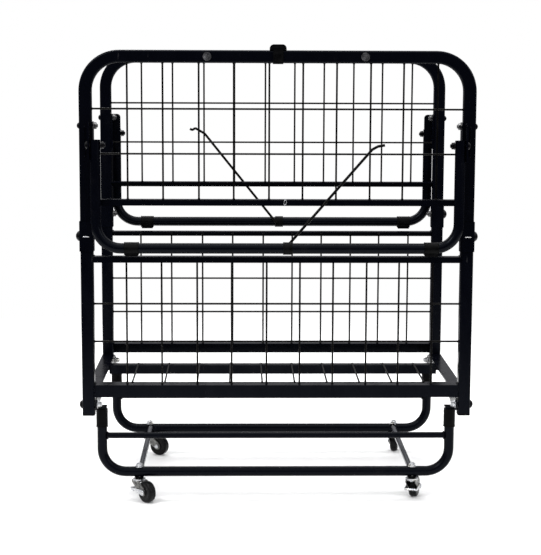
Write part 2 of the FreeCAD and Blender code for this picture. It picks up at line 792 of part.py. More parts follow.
def draw_filleted(sketch, points, bend):
    """Open line through points with each inner corner rounded."""
    here = points[0]
    for index in range(1, len(points) - 1):
        before = (points[index - 1] - points[index]).normalize()
        after = (points[index + 1] - points[index]).normalize()
        half_turn = before.getAngle(after) / 2
        setback = bend / math.tan(half_turn)
        start = points[index] + before * setback
        end = points[index] + after * setback
        middle_direction = (before + after).normalize()
        centre = points[index] + middle_direction * (bend / math.sin(half_turn))
        middle = centre - middle_direction * bend
        sketch.addGeometry(Part.LineSegment(here, start))
        sketch.addGeometry(Part.Arc(start, middle, end))
        here = end
    sketch.addGeometry(Part.LineSegment(here, points[-1]))


# ---------------------------------------------------------------- centre frame and base


def frame_sides():
    """Two angle-iron side members between the decks' rails."""
    outer = "bed_width / 2"
    for side, sign in SIDES:
        flange = signed_box(
            sign,
            "%s - angle_side" % outer,
            outer,
            ("-flange_reach", "flange_reach"),
            ("frame_top - angle_gauge", "frame_top"),
        )
        upright = signed_box(
            sign,
            "%s - angle_gauge" % outer,
            outer,
            ("-side_leg_reach", "side_leg_reach"),
            ("frame_top - angle_side", "frame_top"),
        )
        part_of_bed(fuse([flange, upright]), "frame_side_" + side)


def frame_cross_rails():
    """Two angle-iron rails across the centre frame."""
    half = "bed_width / 2 - angle_side"
    rails = []
    for toward in (-1, 1):
        front = "%d * cross_reach" % toward
        rails.append(angle_bar(half, front, "frame_top", "cross_face", "cross_flange", "angle_gauge", toward))
    part_of_bed(group(rails), "frame_cross_rails")


def frame_wires():
    """Short wires that bridge the centre frame from rail to rail."""
    wires = []
    reach = "(cross_reach + cross_flange / 2)"
    for index in range(10):
        x = "%d * frame_wire_pitch - frame_wire_first" % index
        height = "frame_top + wire_size / 2"
        wires.append(rod("wire_size / 2", "2 * %s" % reach, x, "-%s" % reach, height, Y_AXIS))
    part_of_bed(group(wires), "frame_wires")


def base_frame(end, sign):
    """U-shaped base tube with holes for the caster stems."""
    name = end.title() + "Base"
    ring = round_ring("base_tube", "base_wall")
    half = "(base_width - base_tube) / 2"
    body = bent_tube(name, ring, half, "base_top", "base_bar_height", "base_bend")
    sketch = plane_sketch(body, "XY_Plane", name + "StemSketch")
    hole = "stem_radius + slip_gap"
    for x_sign in (-1, 1):
        centre = Vector(x_sign * size("stem_x"), 0, 0)
        edge = sketch.addGeometry(Part.Circle(centre, Vector(0, 0, 1), size(hole)))
        bound(sketch, Sketcher.Constraint("Radius", edge, size(hole)), hole)
    sketch.addConstraint(Sketcher.Constraint("PointOnObject", 0, 3, -1))
    sketch.addConstraint(Sketcher.Constraint("Symmetric", 0, 3, 1, 3, -2))
    bound(sketch, Sketcher.Constraint("DistanceX", 0, 3, 1, 3, 2 * size("stem_x")), "2 * stem_x")
    doc.recompute()
    before = body.Shape.Volume
    pocket = body.newObject("PartDesign::Pocket", name + "StemHoles")
    pocket.Profile = sketch
    pocket.Type = "ThroughAll"
    pocket.Midplane = True
    doc.recompute()
    if body.Shape.Volume >= before:
        raise RuntimeError("stem holes cut nothing")
    body.Placement = Placement(Vector(0, sign * size("base_reach"), 0), Rotation())
    bind(body, ".Placement.Base.y", "%d * base_reach" % sign)
    body.Label = "base_frame_" + end
    parts.append(body)


def base_details():
    """Crossbars, spacers and top caps of the two base frames."""
    leg_x = "(base_width - base_tube) / 2"
    inside = "(%s - base_tube / 2 - slip_gap)" % leg_x
    bars = []
    for sign in (-1, 1):
        y = "%d * base_reach" % sign
        bars.append(rod("crossbar_size / 2", "2 * %s" % inside, "-%s" % inside, y, "crossbar_height", X_AXIS))
    part_of_bed(group(bars), "base_crossbars")

    spacers = []
    reach = "(base_reach - base_tube / 2)"
    for side, sign in SIDES:
        x = "%d * spacer_x" % sign
        spacers.append(rod("spacer_size / 2", "2 * %s" % reach, x, "-%s" % reach, "spacer_height", Y_AXIS))
    part_of_bed(group(spacers), "base_spacers")

    caps = []
    for x_sign in (-1, 1):
        for y_sign in (-1, 1):
            place = ("%d * %s" % (x_sign, leg_x), "%d * base_reach" % y_sign)
            shoulder = "base_cap_top - base_cap_round"
            tube = rod("base_cap_radius", "%s - base_cap_low" % shoulder, place[0], place[1], "base_cap_low")
            crown = doc.addObject("Part::Cone", "Crown")
            bind(crown, "Radius1", "base_cap_radius")
            bind(crown, "Radius2", "base_cap_radius - base_cap_round")
            bind(crown, "Height", "base_cap_round")
            outer = fuse([tube, put_at(crown, place[0], place[1], shoulder)])
            depth = "base_top + slip_gap - base_cap_low"
            inner = rod("base_tube / 2 + slip_gap", depth, place[0], place[1], "base_cap_low")
            caps.append(cut(outer, [inner]))
    part_of_bed(group(caps), "base_caps")


def pivot_bracket_shape(x_sign, y_sign):
    """Gusset plate from the side member to the deck pivot, with a tab on the base frame's cap."""
    gauge = size("bracket_gauge")
    inner = size("bracket_in")
    pivot = Vector(0, size("pivot_reach"), size("pivot_height"))
    lug = size("lug_radius")
    top = size("frame_top - angle_gauge")
    cap_top = size("base_cap_top")
    reach = size("base_reach")
    tab = size("bracket_tab")
    neck = reach - size("bracket_neck")
    nose = size("bracket_nose")
    start = Vector(0, neck, top)
    corner = Vector(0, size("flange_reach - bracket_gauge"), top)
    lug_top = pivot + Rotation(Vector(1, 0, 0), -20).multVec(Vector(0, 0, lug))
    lug_side = pivot + Vector(0, lug, 0)
    lug_low = pivot + Rotation(Vector(1, 0, 0), -200).multVec(Vector(0, 0, lug))
    foot_out = Vector(0, reach + tab, cap_top)
    foot_in = Vector(0, reach - tab, cap_top)
    rise = Vector(0, neck, top - nose)
    bow = Vector(0, reach - tab - size("bracket_bow"), cap_top + nose / 2)
    outline = Part.Wire(
        [
            Part.LineSegment(start, corner).toShape(),
            Part.LineSegment(corner, lug_top).toShape(),
            Part.Arc(lug_top, lug_side, lug_low).toShape(),
            Part.LineSegment(lug_low, foot_out).toShape(),
            Part.LineSegment(foot_out, foot_in).toShape(),
            Part.Arc(foot_in, bow, rise).toShape(),
            Part.LineSegment(rise, start).toShape(),
        ]
    )
    plate = Part.Face(outline).extrude(Vector(gauge, 0, 0))
    plate.translate(Vector(inner, 0, 0))
    depth = size("bracket_tab_depth")
    tab_plate = Part.makeBox(depth, 2 * tab, gauge, Vector(inner - depth, reach - tab, cap_top))
    pin_start = pivot + Vector(inner - gauge, 0, 0)
    pin = Part.makeCylinder(size("pivot_pin"), 4 * gauge, pin_start, Vector(1, 0, 0))
    bracket = plate.fuse(tab_plate).cut(pin).removeSplitter()
    if x_sign < 0:
        bracket = bracket.mirror(Vector(), Vector(1, 0, 0))
    if y_sign < 0:
        bracket = bracket.mirror(Vector(), Vector(0, 1, 0))
    return bracket


def pivot_brackets():
    """The four gusset plates."""
    plates = [pivot_bracket_shape(x_sign, y_sign) for x_sign in (-1, 1) for y_sign in (-1, 1)]
    feature = doc.addObject("Part::Feature", "Brackets")
    feature.Shape = Part.makeCompound(plates)
    part_of_bed(feature, "pivot_brackets", Placement())


def pivot_bolts():
    """Bolts that join the decks' rails to the gusset plates."""
    bolts = []
    head = "bed_width / 2 + 0.4"
    for end, turn, y_sign in DECKS:
        for side, sign in SIDES:
            y = "%d * pivot_reach" % y_sign
            bolts.append(side_bolt(sign, head, "bracket_in", y, "pivot_height", "pivot_pin"))
    part_of_bed(group(bolts), "pivot_bolts")


# ---------------------------------------------------------------- casters

CASTERS = (
    ("front_left", -1, -1, -50.0, True),
    ("front_right", 1, -1, 72.0, True),
    ("rear_left", -1, 1, -30.0, False),
    ("rear_right", 1, 1, 80.0, False),
)
CHEEK_IN = "wheel_width / 2 + cheek_gap"


def caster_stems():
    """Stems with their nuts and bearing races, fixed in the base tubes, and the cups above the races."""
    stems = []
    cups = []
    under = "(base_bar_height - base_tube / 2)"
    race_low = "(plate_high + bearing_gap)"
    race_high = "(plate_high + bearing_gap + race_gauge)"
    for name, x_sign, y_sign, heading, braked in CASTERS:
        x = "%d * stem_x" % x_sign
        y = "%d * base_reach" % y_sign
        stem = rod("stem_radius", "stem_top - stem_low", x, y, "stem_low")
        rivet = rod("rivet_radius", "plate_low - stem_low - bearing_gap", x, y, "stem_low")
        race = rod("race_radius", "race_gauge", x, y, race_low)
        top_nut = nut(x, y, "base_bar_height + base_tube / 2", Z_AXIS)
        stems.append(fuse([stem, rivet, race, top_nut]))
        cone = doc.addObject("Part::Cone", "Cup")
        bind(cone, "Radius1", "cup_low_radius")
        bind(cone, "Radius2", "cup_high_radius")
        bind(cone, "Height", "%s - %s" % (under, race_high))
        hole = rod("stem_radius + slip_gap", "%s - %s" % (under, race_high), x, y, race_high)
        cups.append(cut(put_at(cone, x, y, race_high), [hole]))
    part_of_bed(group(stems), "caster_stems")
    part_of_bed(group(cups), "caster_cups")


def caster_place(x_sign, y_sign, heading):
    """Placement of a caster's own frame: its stem upright and its wheel trailing."""
    corner = Vector(x_sign * size("stem_x"), y_sign * size("base_reach"), 0)
    return Placement(corner, Rotation(Vector(0, 0, 1), heading))


def around_axle(radius, angle):
    """Point on a circle about the axle, in the caster's own frame."""
    turn = math.radians(angle)
    centre = Vector(size("trail"), 0, size("wheel_radius"))
    return centre + Vector(radius * math.cos(turn), 0, radius * math.sin(turn))


def fork_shape():
    """Pressed fork: a top plate and two cheeks that narrow down to the axle."""
    low = size("plate_low")
    high = size("plate_high")
    plate_radius = size("plate_radius")
    boss = size("cheek_boss")
    back = -size("cheek_back")
    inner = size(CHEEK_IN)
    gauge = size("cheek_gauge")
    outer = inner + gauge
    plate = Part.makeCylinder(plate_radius, high - low, Vector(0, 0, low))
    crown = Part.makeBox(plate_radius - back, 2 * outer, high - low, Vector(back, -outer, low))
    hole = Part.makeCylinder(size("stem_radius + running_gap"), high, Vector())
    fork = plate.fuse(crown)
    waist = Vector(back / 6, 0, (high + size("wheel_radius")) / 2 - gauge)
    heel = Vector(back, 0, high - 3 * gauge)
    for start in (inner, -outer):
        outline = Part.Wire(
            [
                Part.LineSegment(Vector(back, 0, high), Vector(plate_radius, 0, high)).toShape(),
                Part.LineSegment(Vector(plate_radius, 0, high), around_axle(boss, 40)).toShape(),
                Part.Arc(around_axle(boss, 40), around_axle(boss, -50), around_axle(boss, -140)).toShape(),
                Part.LineSegment(around_axle(boss, -140), waist).toShape(),
                Part.LineSegment(waist, heel).toShape(),
                Part.LineSegment(heel, Vector(back, 0, high)).toShape(),
            ]
        )
        cheek = Part.Face(outline).extrude(Vector(0, gauge, 0))
        cheek.translate(Vector(0, start, 0))
        fork = fork.fuse(cheek)
    reach = 3 * size("wheel_width")
    bore_line = Part.makeCylinder(
        size("axle_radius"), reach, around_axle(0, 0) - Vector(0, reach / 2, 0), Vector(0, 1, 0)
    )
    return fork.cut(hole).cut(bore_line).removeSplitter()


def brake_shape():
    """Foot lever: two arms outside the fork's cheeks and a small pressed pedal behind."""
    inner = size(CHEEK_IN) + size("cheek_gauge") + size("brake_gap")
    gauge = size("brake_gauge")
    eye = size("brake_eye")
    axle = around_axle(0, 0)
    tail = axle.x - size("brake_arm")
    arm_low = axle.z - gauge / 2
    arm_high = axle.z + 2 * gauge
    lever = None
    for start in (inner, -inner - gauge):
        ring = Part.makeCylinder(eye, gauge, axle + Vector(0, start, 0), Vector(0, 1, 0))
        outline = Part.makePolygon(
            [
                around_axle(eye, 90),
                around_axle(eye, -90),
                Vector(tail, 0, arm_low),
                Vector(tail, 0, arm_high),
                around_axle(eye, 90),
            ]
        )
        arm = Part.Face(outline).extrude(Vector(0, gauge, 0))
        arm.translate(Vector(0, start, 0))
        arm = arm.fuse(ring)
        lever = arm if lever is None else lever.fuse(arm)
    width = 2 * (inner + gauge)
    length = size("pedal_length")
    pedal_width = size("pedal_width")
    bridge = Part.makeBox(gauge, width, arm_high - arm_low, Vector(tail - gauge / 2, -width / 2, arm_low))
    pedal = Part.makeBox(length, pedal_width, gauge, Vector(tail - length, -pedal_width / 2, arm_low))
    pedal.rotate(Vector(tail, 0, arm_low), Vector(0, 1, 0), size("pedal_angle"))
    lever = lever.fuse(bridge).fuse(pedal)
    clearance = size("axle_radius") + size("running_gap")
    reach = 3 * size("wheel_width")
    bore_line = Part.makeCylinder(clearance, reach, axle - Vector(0, reach / 2, 0), Vector(0, 1, 0))
    return lever.cut(bore_line).removeSplitter()


def caster_wheel(name, place):
    """Wheel with a rounded tread, bored for the axle."""
    body = new_body("Wheel" + name.title().replace("_", ""))
    label = body.Name
    disc = plane_sketch(body, "XZ_Plane", label + "Disc")
    circle(disc, "wheel_radius")
    pad = body.newObject("PartDesign::Pad", label + "Pad")
    pad.Profile = disc
    pad.Midplane = True
    bind(pad, "Length", "wheel_width")
    doc.recompute()
    rims = []
    for index, edge in enumerate(pad.Shape.Edges, start=1):
        if isinstance(edge.Curve, Part.Circle):
            rims.append("Edge%d" % index)
    tread = body.newObject("PartDesign::Fillet", label + "Tread")
    tread.Base = (pad, rims)
    bind(tread, "Radius", "wheel_round")
    doc.recompute()
    bore(body, "XZ_Plane", label + "Bore", [("axle_radius + running_gap", 0, 0)])
    centre = place.multVec(Vector(size("trail"), 0, size("wheel_radius")))
    part_of_bed(body, "caster_%s_wheel" % name, Placement(centre, place.Rotation))


def casters():
    """Four swivel casters, the front pair with brake levers."""
    caster_stems()
    for name, x_sign, y_sign, heading, braked in CASTERS:
        place = caster_place(x_sign, y_sign, heading)
        fork = doc.addObject("Part::Feature", "Fork")
        fork.Shape = fork_shape()
        part_of_bed(fork, "caster_%s_fork" % name, place)
        caster_wheel(name, place)
        half_axle = "(%s + cheek_gauge + 2.8)" % CHEEK_IN
        axle = rod("axle_radius", "2 * %s" % half_axle, 0, 0, 0, Y_AXIS)
        start = place.multVec(Vector(size("trail"), -size(half_axle), size("wheel_radius")))
        axle.setExpression(".Placement.Base.x", None)
        axle.setExpression(".Placement.Base.y", None)
        axle.setExpression(".Placement.Base.z", None)
        part_of_bed(axle, "caster_%s_axle" % name, Placement(start, place.Rotation.multiply(Y_AXIS)))
        if braked:
            brake = doc.addObject("Part::Feature", "Brake")
            brake.Shape = brake_shape()
            part_of_bed(brake, "caster_%s_brake" % name, place)


# ---------------------------------------------------------------- build, check, export

for deck_end, deck_turn, deck_sign in DECKS:
    deck_loop(deck_end, deck_turn)
    deck_rails(deck_end, deck_turn)
    joint_sleeves(deck_end, deck_turn)
    rail_caps(deck_end, deck_turn)
    deck_bolts(deck_end, deck_turn)
    deck_bars(deck_end, deck_turn)
    bottom_bar(deck_end, deck_turn)
    deck_meshes(deck_end, deck_sign)
    leg_hangers(deck_end, deck_turn)
    leg_pivot_bolts(deck_end, deck_turn)
    loop_screws(deck_end, deck_turn)
    leg_frame(deck_end, deck_turn)
    leg_feet(deck_end, deck_turn)
    rod_collar(deck_end, deck_turn)
    brace_rod(deck_end, deck_turn)
    base_frame(deck_end, deck_sign)
top_clip()
frame_sides()
frame_cross_rails()
frame_wires()
base_details()
pivot_brackets()
pivot_bolts()
casters()
doc.recompute()

for item in doc.Objects:
    if "Invalid" in item.State or "Error" in item.State:
        raise RuntimeError("failed object: " + item.Label)
for item in parts:
    if item.Shape.isNull() or not item.Shape.isValid():
        raise RuntimeError("bad shape: " + item.Label)

os.makedirs("parts", exist_ok=True)
for item in parts:
    item.Shape.exportStep("parts/%s.step" % item.Label)
    solids = item.Shape.Solids
    print("%-26s solids %2d  volume %10.1f" % (item.Label, len(solids), item.Shape.Volume))
print(len(parts), "sub-parts")
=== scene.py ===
"""Looks of a folding rollaway bed frame: gloss black steel, dark and zinc hardware, black plastic.

Every CAD node keeps its own mesh and gets a procedural material. Small pieces that the CAD model
leaves out, such as threads, washers, weld beads and wheel rings, are built here on its bodies.
"""

import json
import math
import random

import bmesh
import bpy
from mathutils import Matrix, Vector


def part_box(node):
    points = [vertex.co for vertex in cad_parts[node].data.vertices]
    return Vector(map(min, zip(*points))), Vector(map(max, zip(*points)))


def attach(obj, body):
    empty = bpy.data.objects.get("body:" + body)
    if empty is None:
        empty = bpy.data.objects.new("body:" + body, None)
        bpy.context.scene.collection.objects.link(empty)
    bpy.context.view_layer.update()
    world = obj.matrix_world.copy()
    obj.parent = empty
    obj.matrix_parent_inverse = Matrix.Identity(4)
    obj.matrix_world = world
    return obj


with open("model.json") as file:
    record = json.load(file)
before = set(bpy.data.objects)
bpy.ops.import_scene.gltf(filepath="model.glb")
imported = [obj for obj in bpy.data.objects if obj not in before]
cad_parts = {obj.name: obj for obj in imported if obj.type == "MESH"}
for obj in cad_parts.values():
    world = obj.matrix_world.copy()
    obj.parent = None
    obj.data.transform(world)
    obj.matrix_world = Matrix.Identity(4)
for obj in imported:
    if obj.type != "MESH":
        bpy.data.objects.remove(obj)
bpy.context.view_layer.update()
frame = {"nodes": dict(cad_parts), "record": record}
MM = 0.001
ENDS = (("front", -1), ("rear", 1))
SIDES = (-1, 1)
X_AXIS = Vector((1, 0, 0))
Y_AXIS = Vector((0, 1, 0))
Z_AXIS = Vector((0, 0, 1))
chance = random.Random(7)


# ---------------------------------------------------------------- materials


def new_material(name, metallic, roughness, specular=0.5):
    """Principled material, returned with its tree, its shader and an object-space coordinate."""
    material = bpy.data.materials.new(name)
    material.use_nodes = True
    tree = material.node_tree
    shader = tree.nodes["Principled BSDF"]
    shader.inputs["Metallic"].default_value = metallic
    shader.inputs["Roughness"].default_value = roughness
    shader.inputs["Specular IOR Level"].default_value = specular
    place = tree.nodes.new("ShaderNodeTexCoord")
    return material, tree, shader, place.outputs["Object"]


def noise_field(tree, place, scale, detail=3.0, stretch=(1, 1, 1)):
    """Noise in metres; stretch below 1 draws the pattern out along that axis."""
    mapping = tree.nodes.new("ShaderNodeMapping")
    mapping.inputs["Scale"].default_value = stretch
    tree.links.new(place, mapping.inputs["Vector"])
    field = tree.nodes.new("ShaderNodeTexNoise")
    field.inputs["Scale"].default_value = scale
    field.inputs["Detail"].default_value = detail
    tree.links.new(mapping.outputs["Vector"], field.inputs["Vector"])
    return field.outputs["Fac"]


def ramp(tree, value, stops):
    """Colour ramp through (position, colour) stops."""
    node = tree.nodes.new("ShaderNodeValToRGB")
    while len(node.color_ramp.elements) < len(stops):
        node.color_ramp.elements.new(0.5)
    for element, (position, colour) in zip(node.color_ramp.elements, stops):
        element.position = position
        element.color = (*colour, 1)
    tree.links.new(value, node.inputs["Fac"])
    return node.outputs["Color"]


def remap(tree, value, low, high, start=0.3, stop=0.7):
    """Linear change of a value from one range to another."""
    node = tree.nodes.new("ShaderNodeMapRange")
    for name, number in (("From Min", start), ("From Max", stop), ("To Min", low), ("To Max", high)):
        node.inputs[name].default_value = number
    tree.links.new(value, node.inputs["Value"])
    return node.outputs["Result"]


def bump(tree, shader, value, strength, distance, under=None):
    """Bump on the shader's normal, stacked on another one if given."""
    node = tree.nodes.new("ShaderNodeBump")
    node.inputs["Strength"].default_value = strength
    node.inputs["Distance"].default_value = distance
    tree.links.new(value, node.inputs["Height"])
    if under is not None:
        tree.links.new(under, node.inputs["Normal"])
    tree.links.new(node.outputs["Normal"], shader.inputs["Normal"])
    return node.outputs["Normal"]


def mix_colours(tree, factor, first, second):
    """Blend of two colour outputs."""
    mix = tree.nodes.new("ShaderNodeMix")
    mix.data_type = "RGBA"
    tree.links.new(factor, mix.inputs["Factor"])
    tree.links.new(first, mix.inputs["A"])
    tree.links.new(second, mix.inputs["B"])
    return mix.outputs["Result"]


def colour_from(tree, shader, colour):
    """Feed the shader's base colour."""
    tree.links.new(colour, shader.inputs["Base Color"])


def roughness_from(tree, shader, value, low, high):
    """Feed the shader's roughness with a value that runs between two roughnesses."""
    tree.links.new(remap(tree, value, low, high), shader.inputs["Roughness"])


def powder_coat():
    """Gloss black powder coat: fine orange peel, faint dust and small scuffs."""
    material, tree, shader, place = new_material("powder_coat_black", 0.0, 0.22, 0.07)
    shader.inputs["Specular Tint"].default_value = (0.8, 0.88, 1.0, 1)
    dust = noise_field(tree, place, scale=24, detail=5)
    clean_stops = (
        (0.3, (0.0006, 0.0008, 0.0022)),
        (0.62, (0.0009, 0.0011, 0.0026)),
        (0.85, (0.004, 0.004, 0.005)),
    )
    pale_stops = ((0.0, (0.01, 0.01, 0.012)), (1.0, (0.03, 0.03, 0.033)))
    scuff = noise_field(tree, place, scale=150, detail=8, stretch=(1, 1, 0.15))
    marks = remap(tree, scuff, 0.0, 1.0, start=0.71, stop=0.78)
    clean = ramp(tree, dust, clean_stops)
    pale = ramp(tree, dust, pale_stops)
    colour_from(tree, shader, mix_colours(tree, marks, clean, pale))
    smear = noise_field(tree, place, scale=40, detail=4, stretch=(1, 1, 0.4))
    roughness_from(tree, shader, smear, 0.16, 0.3)
    peel = noise_field(tree, place, scale=520, detail=2)
    wave = noise_field(tree, place, scale=60, detail=1)
    first = bump(tree, shader, wave, strength=0.1, distance=0.0006)
    bump(tree, shader, peel, strength=0.1, distance=0.00018, under=first)
    return material


def painted_wire():
    """Thin black paint on drawn wire, with brown-grey scratches where the wires rub."""
    material, tree, shader, place = new_material("painted_wire", 0.0, 0.3, 0.06)
    rub = noise_field(tree, place, scale=180, detail=4, stretch=(1, 1, 0.25))
    stops = ((0.5, (0.0012, 0.001, 0.001)), (0.72, (0.004, 0.0035, 0.0035)), (0.88, (0.05, 0.045, 0.04)))
    colour_from(tree, shader, ramp(tree, rub, stops))
    roughness_from(tree, shader, rub, 0.24, 0.45)
    drawn = noise_field(tree, place, scale=900, detail=2, stretch=(1, 1, 0.08))
    bump(tree, shader, drawn, strength=0.12, distance=0.0001)
    return material


def plated_metal(name, dark, middle, light, roughness):
    """Plated steel: mottled in three tones, with fine scratches."""
    material, tree, shader, place = new_material(name, 1.0, roughness)
    patch = noise_field(tree, place, scale=90, detail=4)
    colour_from(tree, shader, ramp(tree, patch, ((0.3, dark), (0.5, middle), (0.72, light))))
    scratch = noise_field(tree, place, scale=420, detail=3, stretch=(1, 0.2, 0.2))
    roughness_from(tree, shader, scratch, roughness - 0.08, roughness + 0.14)
    bump(tree, shader, scratch, strength=0.18, distance=0.00012)
    return material


def spacer_gloss():
    """Smoother black gloss of the spacers, which mirrors the sky in blue-grey."""
    material, tree, shader, place = new_material("spacer_gloss", 0.0, 0.12, 0.42)
    shader.inputs["Specular Tint"].default_value = (0.7, 0.82, 1.0, 1)
    dust = noise_field(tree, place, scale=60, detail=4)
    colour_from(tree, shader, ramp(tree, dust, ((0.35, (0.002, 0.0025, 0.004)), (0.8, (0.02, 0.022, 0.028)))))
    roughness_from(tree, shader, dust, 0.08, 0.2)
    peel = noise_field(tree, place, scale=520, detail=2)
    bump(tree, shader, peel, strength=0.1, distance=0.00015)
    return material


def side_bolt_metal(name, head_from, nut_dark, nut_light):
    """Dark head and lighter nut of a bolt along X: the change lies at a distance from the middle."""
    material, tree, shader, place = new_material(name, 1.0, 0.28)
    parts = tree.nodes.new("ShaderNodeSeparateXYZ")
    tree.links.new(place, parts.inputs["Vector"])
    distance = tree.nodes.new("ShaderNodeMath")
    distance.operation = "ABSOLUTE"
    tree.links.new(parts.outputs["X"], distance.inputs[0])
    outside = remap(tree, distance.outputs["Value"], 0.0, 1.0, start=head_from, stop=head_from + MM)
    patch = noise_field(tree, place, scale=120, detail=4)
    head = ramp(tree, patch, ((0.3, (0.004, 0.004, 0.005)), (0.75, (0.025, 0.025, 0.028))))
    nut = ramp(tree, patch, ((0.3, nut_dark), (0.7, nut_light)))
    colour_from(tree, shader, mix_colours(tree, outside, nut, head))
    scratch = noise_field(tree, place, scale=420, detail=3, stretch=(1, 0.2, 0.2))
    roughness_from(tree, shader, scratch, 0.2, 0.4)
    bump(tree, shader, scratch, strength=0.15, distance=0.00012)
    return material


def moulded_plastic(name, colour, roughness, specular):
    """Black moulded plastic with a fine grain."""
    material, tree, shader, place = new_material(name, 0.0, roughness, specular)
    shade = noise_field(tree, place, scale=90, detail=3)
    light = tuple(min(1.0, channel * 2.2 + 0.002) for channel in colour)
    colour_from(tree, shader, ramp(tree, shade, ((0.35, colour), (0.75, light))))
    roughness_from(tree, shader, shade, roughness - 0.06, roughness + 0.08)
    grain = noise_field(tree, place, scale=1400, detail=2)
    bump(tree, shader, grain, strength=0.25, distance=0.0001)
    return material


COAT = powder_coat()
WIRE = painted_wire()
ZINC = plated_metal("zinc_plate", (0.36, 0.37, 0.39), (0.55, 0.56, 0.58), (0.68, 0.66, 0.6), 0.24)
FORK = plated_metal("fork_plate", (0.07, 0.07, 0.07), (0.15, 0.15, 0.145), (0.24, 0.24, 0.23), 0.32)
DARK = plated_metal("dark_plate", (0.003, 0.003, 0.0035), (0.006, 0.006, 0.007), (0.016, 0.016, 0.018), 0.32)
SCREW = plated_metal("screw_plate", (0.05, 0.05, 0.055), (0.12, 0.12, 0.125), (0.3, 0.3, 0.31), 0.36)
PLASTIC = moulded_plastic("black_plastic", (0.0005, 0.0005, 0.0007), 0.4, 0.05)
TREAD = moulded_plastic("caster_tread", (0.0012, 0.0012, 0.0014), 0.28, 0.12)
BY_SLOT = {
    "black_powder_coat": COAT,
    "black_wire": WIRE,
    "zinc_plate": ZINC,
    "dark_fastener": DARK,
    "black_plastic": PLASTIC,
    "caster_tread": TREAD,
}

BRIGHT_NUT = ((0.32, 0.33, 0.35), (0.66, 0.66, 0.64))
GREY_NUT = ((0.04, 0.04, 0.043), (0.2, 0.2, 0.2))
BLACK_NUT = ((0.003, 0.003, 0.0035), (0.014, 0.014, 0.016))
RAIL_HEADS_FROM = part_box("front_deck_rails")[1][0] - 4 * MM
WING_HEADS_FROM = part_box("front_leg_hangers")[1][0] - MM
DECK_BOLT = side_bolt_metal("deck_bolt", RAIL_HEADS_FROM, *GREY_NUT)
LEG_BOLT = side_bolt_metal("leg_bolt", WING_HEADS_FROM, *BLACK_NUT)
OWN_MATERIAL = {
    "pivot_bolts": side_bolt_metal("pivot_bolt", RAIL_HEADS_FROM, *BRIGHT_NUT),
    "front_deck_bolts": DECK_BOLT,
    "rear_deck_bolts": DECK_BOLT,
    "front_leg_pivot_bolts": LEG_BOLT,
    "rear_leg_pivot_bolts": LEG_BOLT,
    "front_loop_screws": SCREW,
    "rear_loop_screws": SCREW,
    "base_spacers": spacer_gloss(),
}


def dress_nodes():
    """Give each CAD node the material of its slot, or one of its own."""
    for row in frame["record"]["subparts"]:
        name = row["node"]
        material = OWN_MATERIAL.get(name, BY_SLOT[row["material_slot"]])
        if name.endswith("_fork"):
            material = FORK
        mesh = frame["nodes"][name].data
        mesh.materials.clear()
        mesh.materials.append(material)


# ---------------------------------------------------------------- mesh tools


def add_piece(name, made, material, body):
    """Turn a bmesh into a smooth piece that rides on a body."""
    bmesh.ops.recalc_face_normals(made, faces=made.faces)
    mesh = bpy.data.meshes.new(name)
    made.to_mesh(mesh)
    made.free()
    mesh.materials.append(material)
    for polygon in mesh.polygons:
        polygon.use_smooth = True
    piece = bpy.data.objects.new(name, mesh)
    bpy.context.scene.collection.objects.link(piece)
    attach(piece, body)


def in_mm(steps):
    """Pairs of sizes given in millimetres, as metres."""
    return [(along * MM, radius * MM) for along, radius in steps]


def side_axes(axis):
    """Two unit vectors square to an axis and to each other."""
    helper = Z_AXIS if abs(axis.z) < 0.9 else X_AXIS
    first = axis.cross(helper).normalized()
    return first, axis.cross(first).normalized()


def join_rings(made, rings, closed):
    """Quads between neighbouring rings of vertices; an open row of rings gets two end faces."""
    pairs = list(zip(rings, rings[1:]))
    if closed:
        pairs.append((rings[-1], rings[0]))
    for low, high in pairs:
        count = len(low)
        for index in range(count):
            after = (index + 1) % count
            made.faces.new((low[index], low[after], high[after], high[index]))
    if not closed:
        made.faces.new(rings[0])
        made.faces.new(rings[-1])


def turned(made, place, axis, profile, sides=24, radius_at=None):
    """Solid turned about an axis from (along, radius) steps.

    `radius_at(along, radius, angle)` may give each corner of a ring a radius of its own.
    """
    first, second = side_axes(axis)
    rings = []
    for along, radius in profile:
        ring = []
        for index in range(sides):
            angle = 2 * math.pi * index / sides
            reach = radius if radius_at is None else radius_at(along, radius, angle)
            offset = first * (math.cos(angle) * reach) + second * (math.sin(angle) * reach)
            ring.append(made.verts.new(Vector(place) + axis * along + offset))
        rings.append(ring)
    join_rings(made, rings, closed=False)


def band(made, place, axis, profile, sides=32):
    """Closed ring turned about an axis from a closed (along, radius) outline."""
    first, second = side_axes(axis)
    centre = Vector(place)
    rings = []
    for index in range(sides):
        angle = 2 * math.pi * index / sides
        out = first * math.cos(angle) + second * math.sin(angle)
        rings.append([made.verts.new(centre + axis * along + out * radius) for along, radius in profile])
    join_rings(made, rings, closed=True)


def swept(made, points, radius, closed=False, ripple=0.0, sides=8):
    """Tube along a line of points; `ripple` swells it in even steps like a weld bead."""
    points = [Vector(point) for point in points]
    count = len(points)
    rings = []
    normal = None
    for index, point in enumerate(points):
        before = points[index - 1] if closed or index > 0 else point
        after = points[(index + 1) % count] if closed or index < count - 1 else point
        along = (after - before).normalized()
        if normal is None:
            normal = side_axes(along)[0]
        normal = (normal - along * normal.dot(along)).normalized()
        other = along.cross(normal)
        reach = radius * (1 + ripple * (1 if index % 2 else -1))
        ring = []
        for step in range(sides):
            angle = 2 * math.pi * step / sides
            ring.append(made.verts.new(point + (normal * math.cos(angle) + other * math.sin(angle)) * reach))
        rings.append(ring)
    join_rings(made, rings, closed)


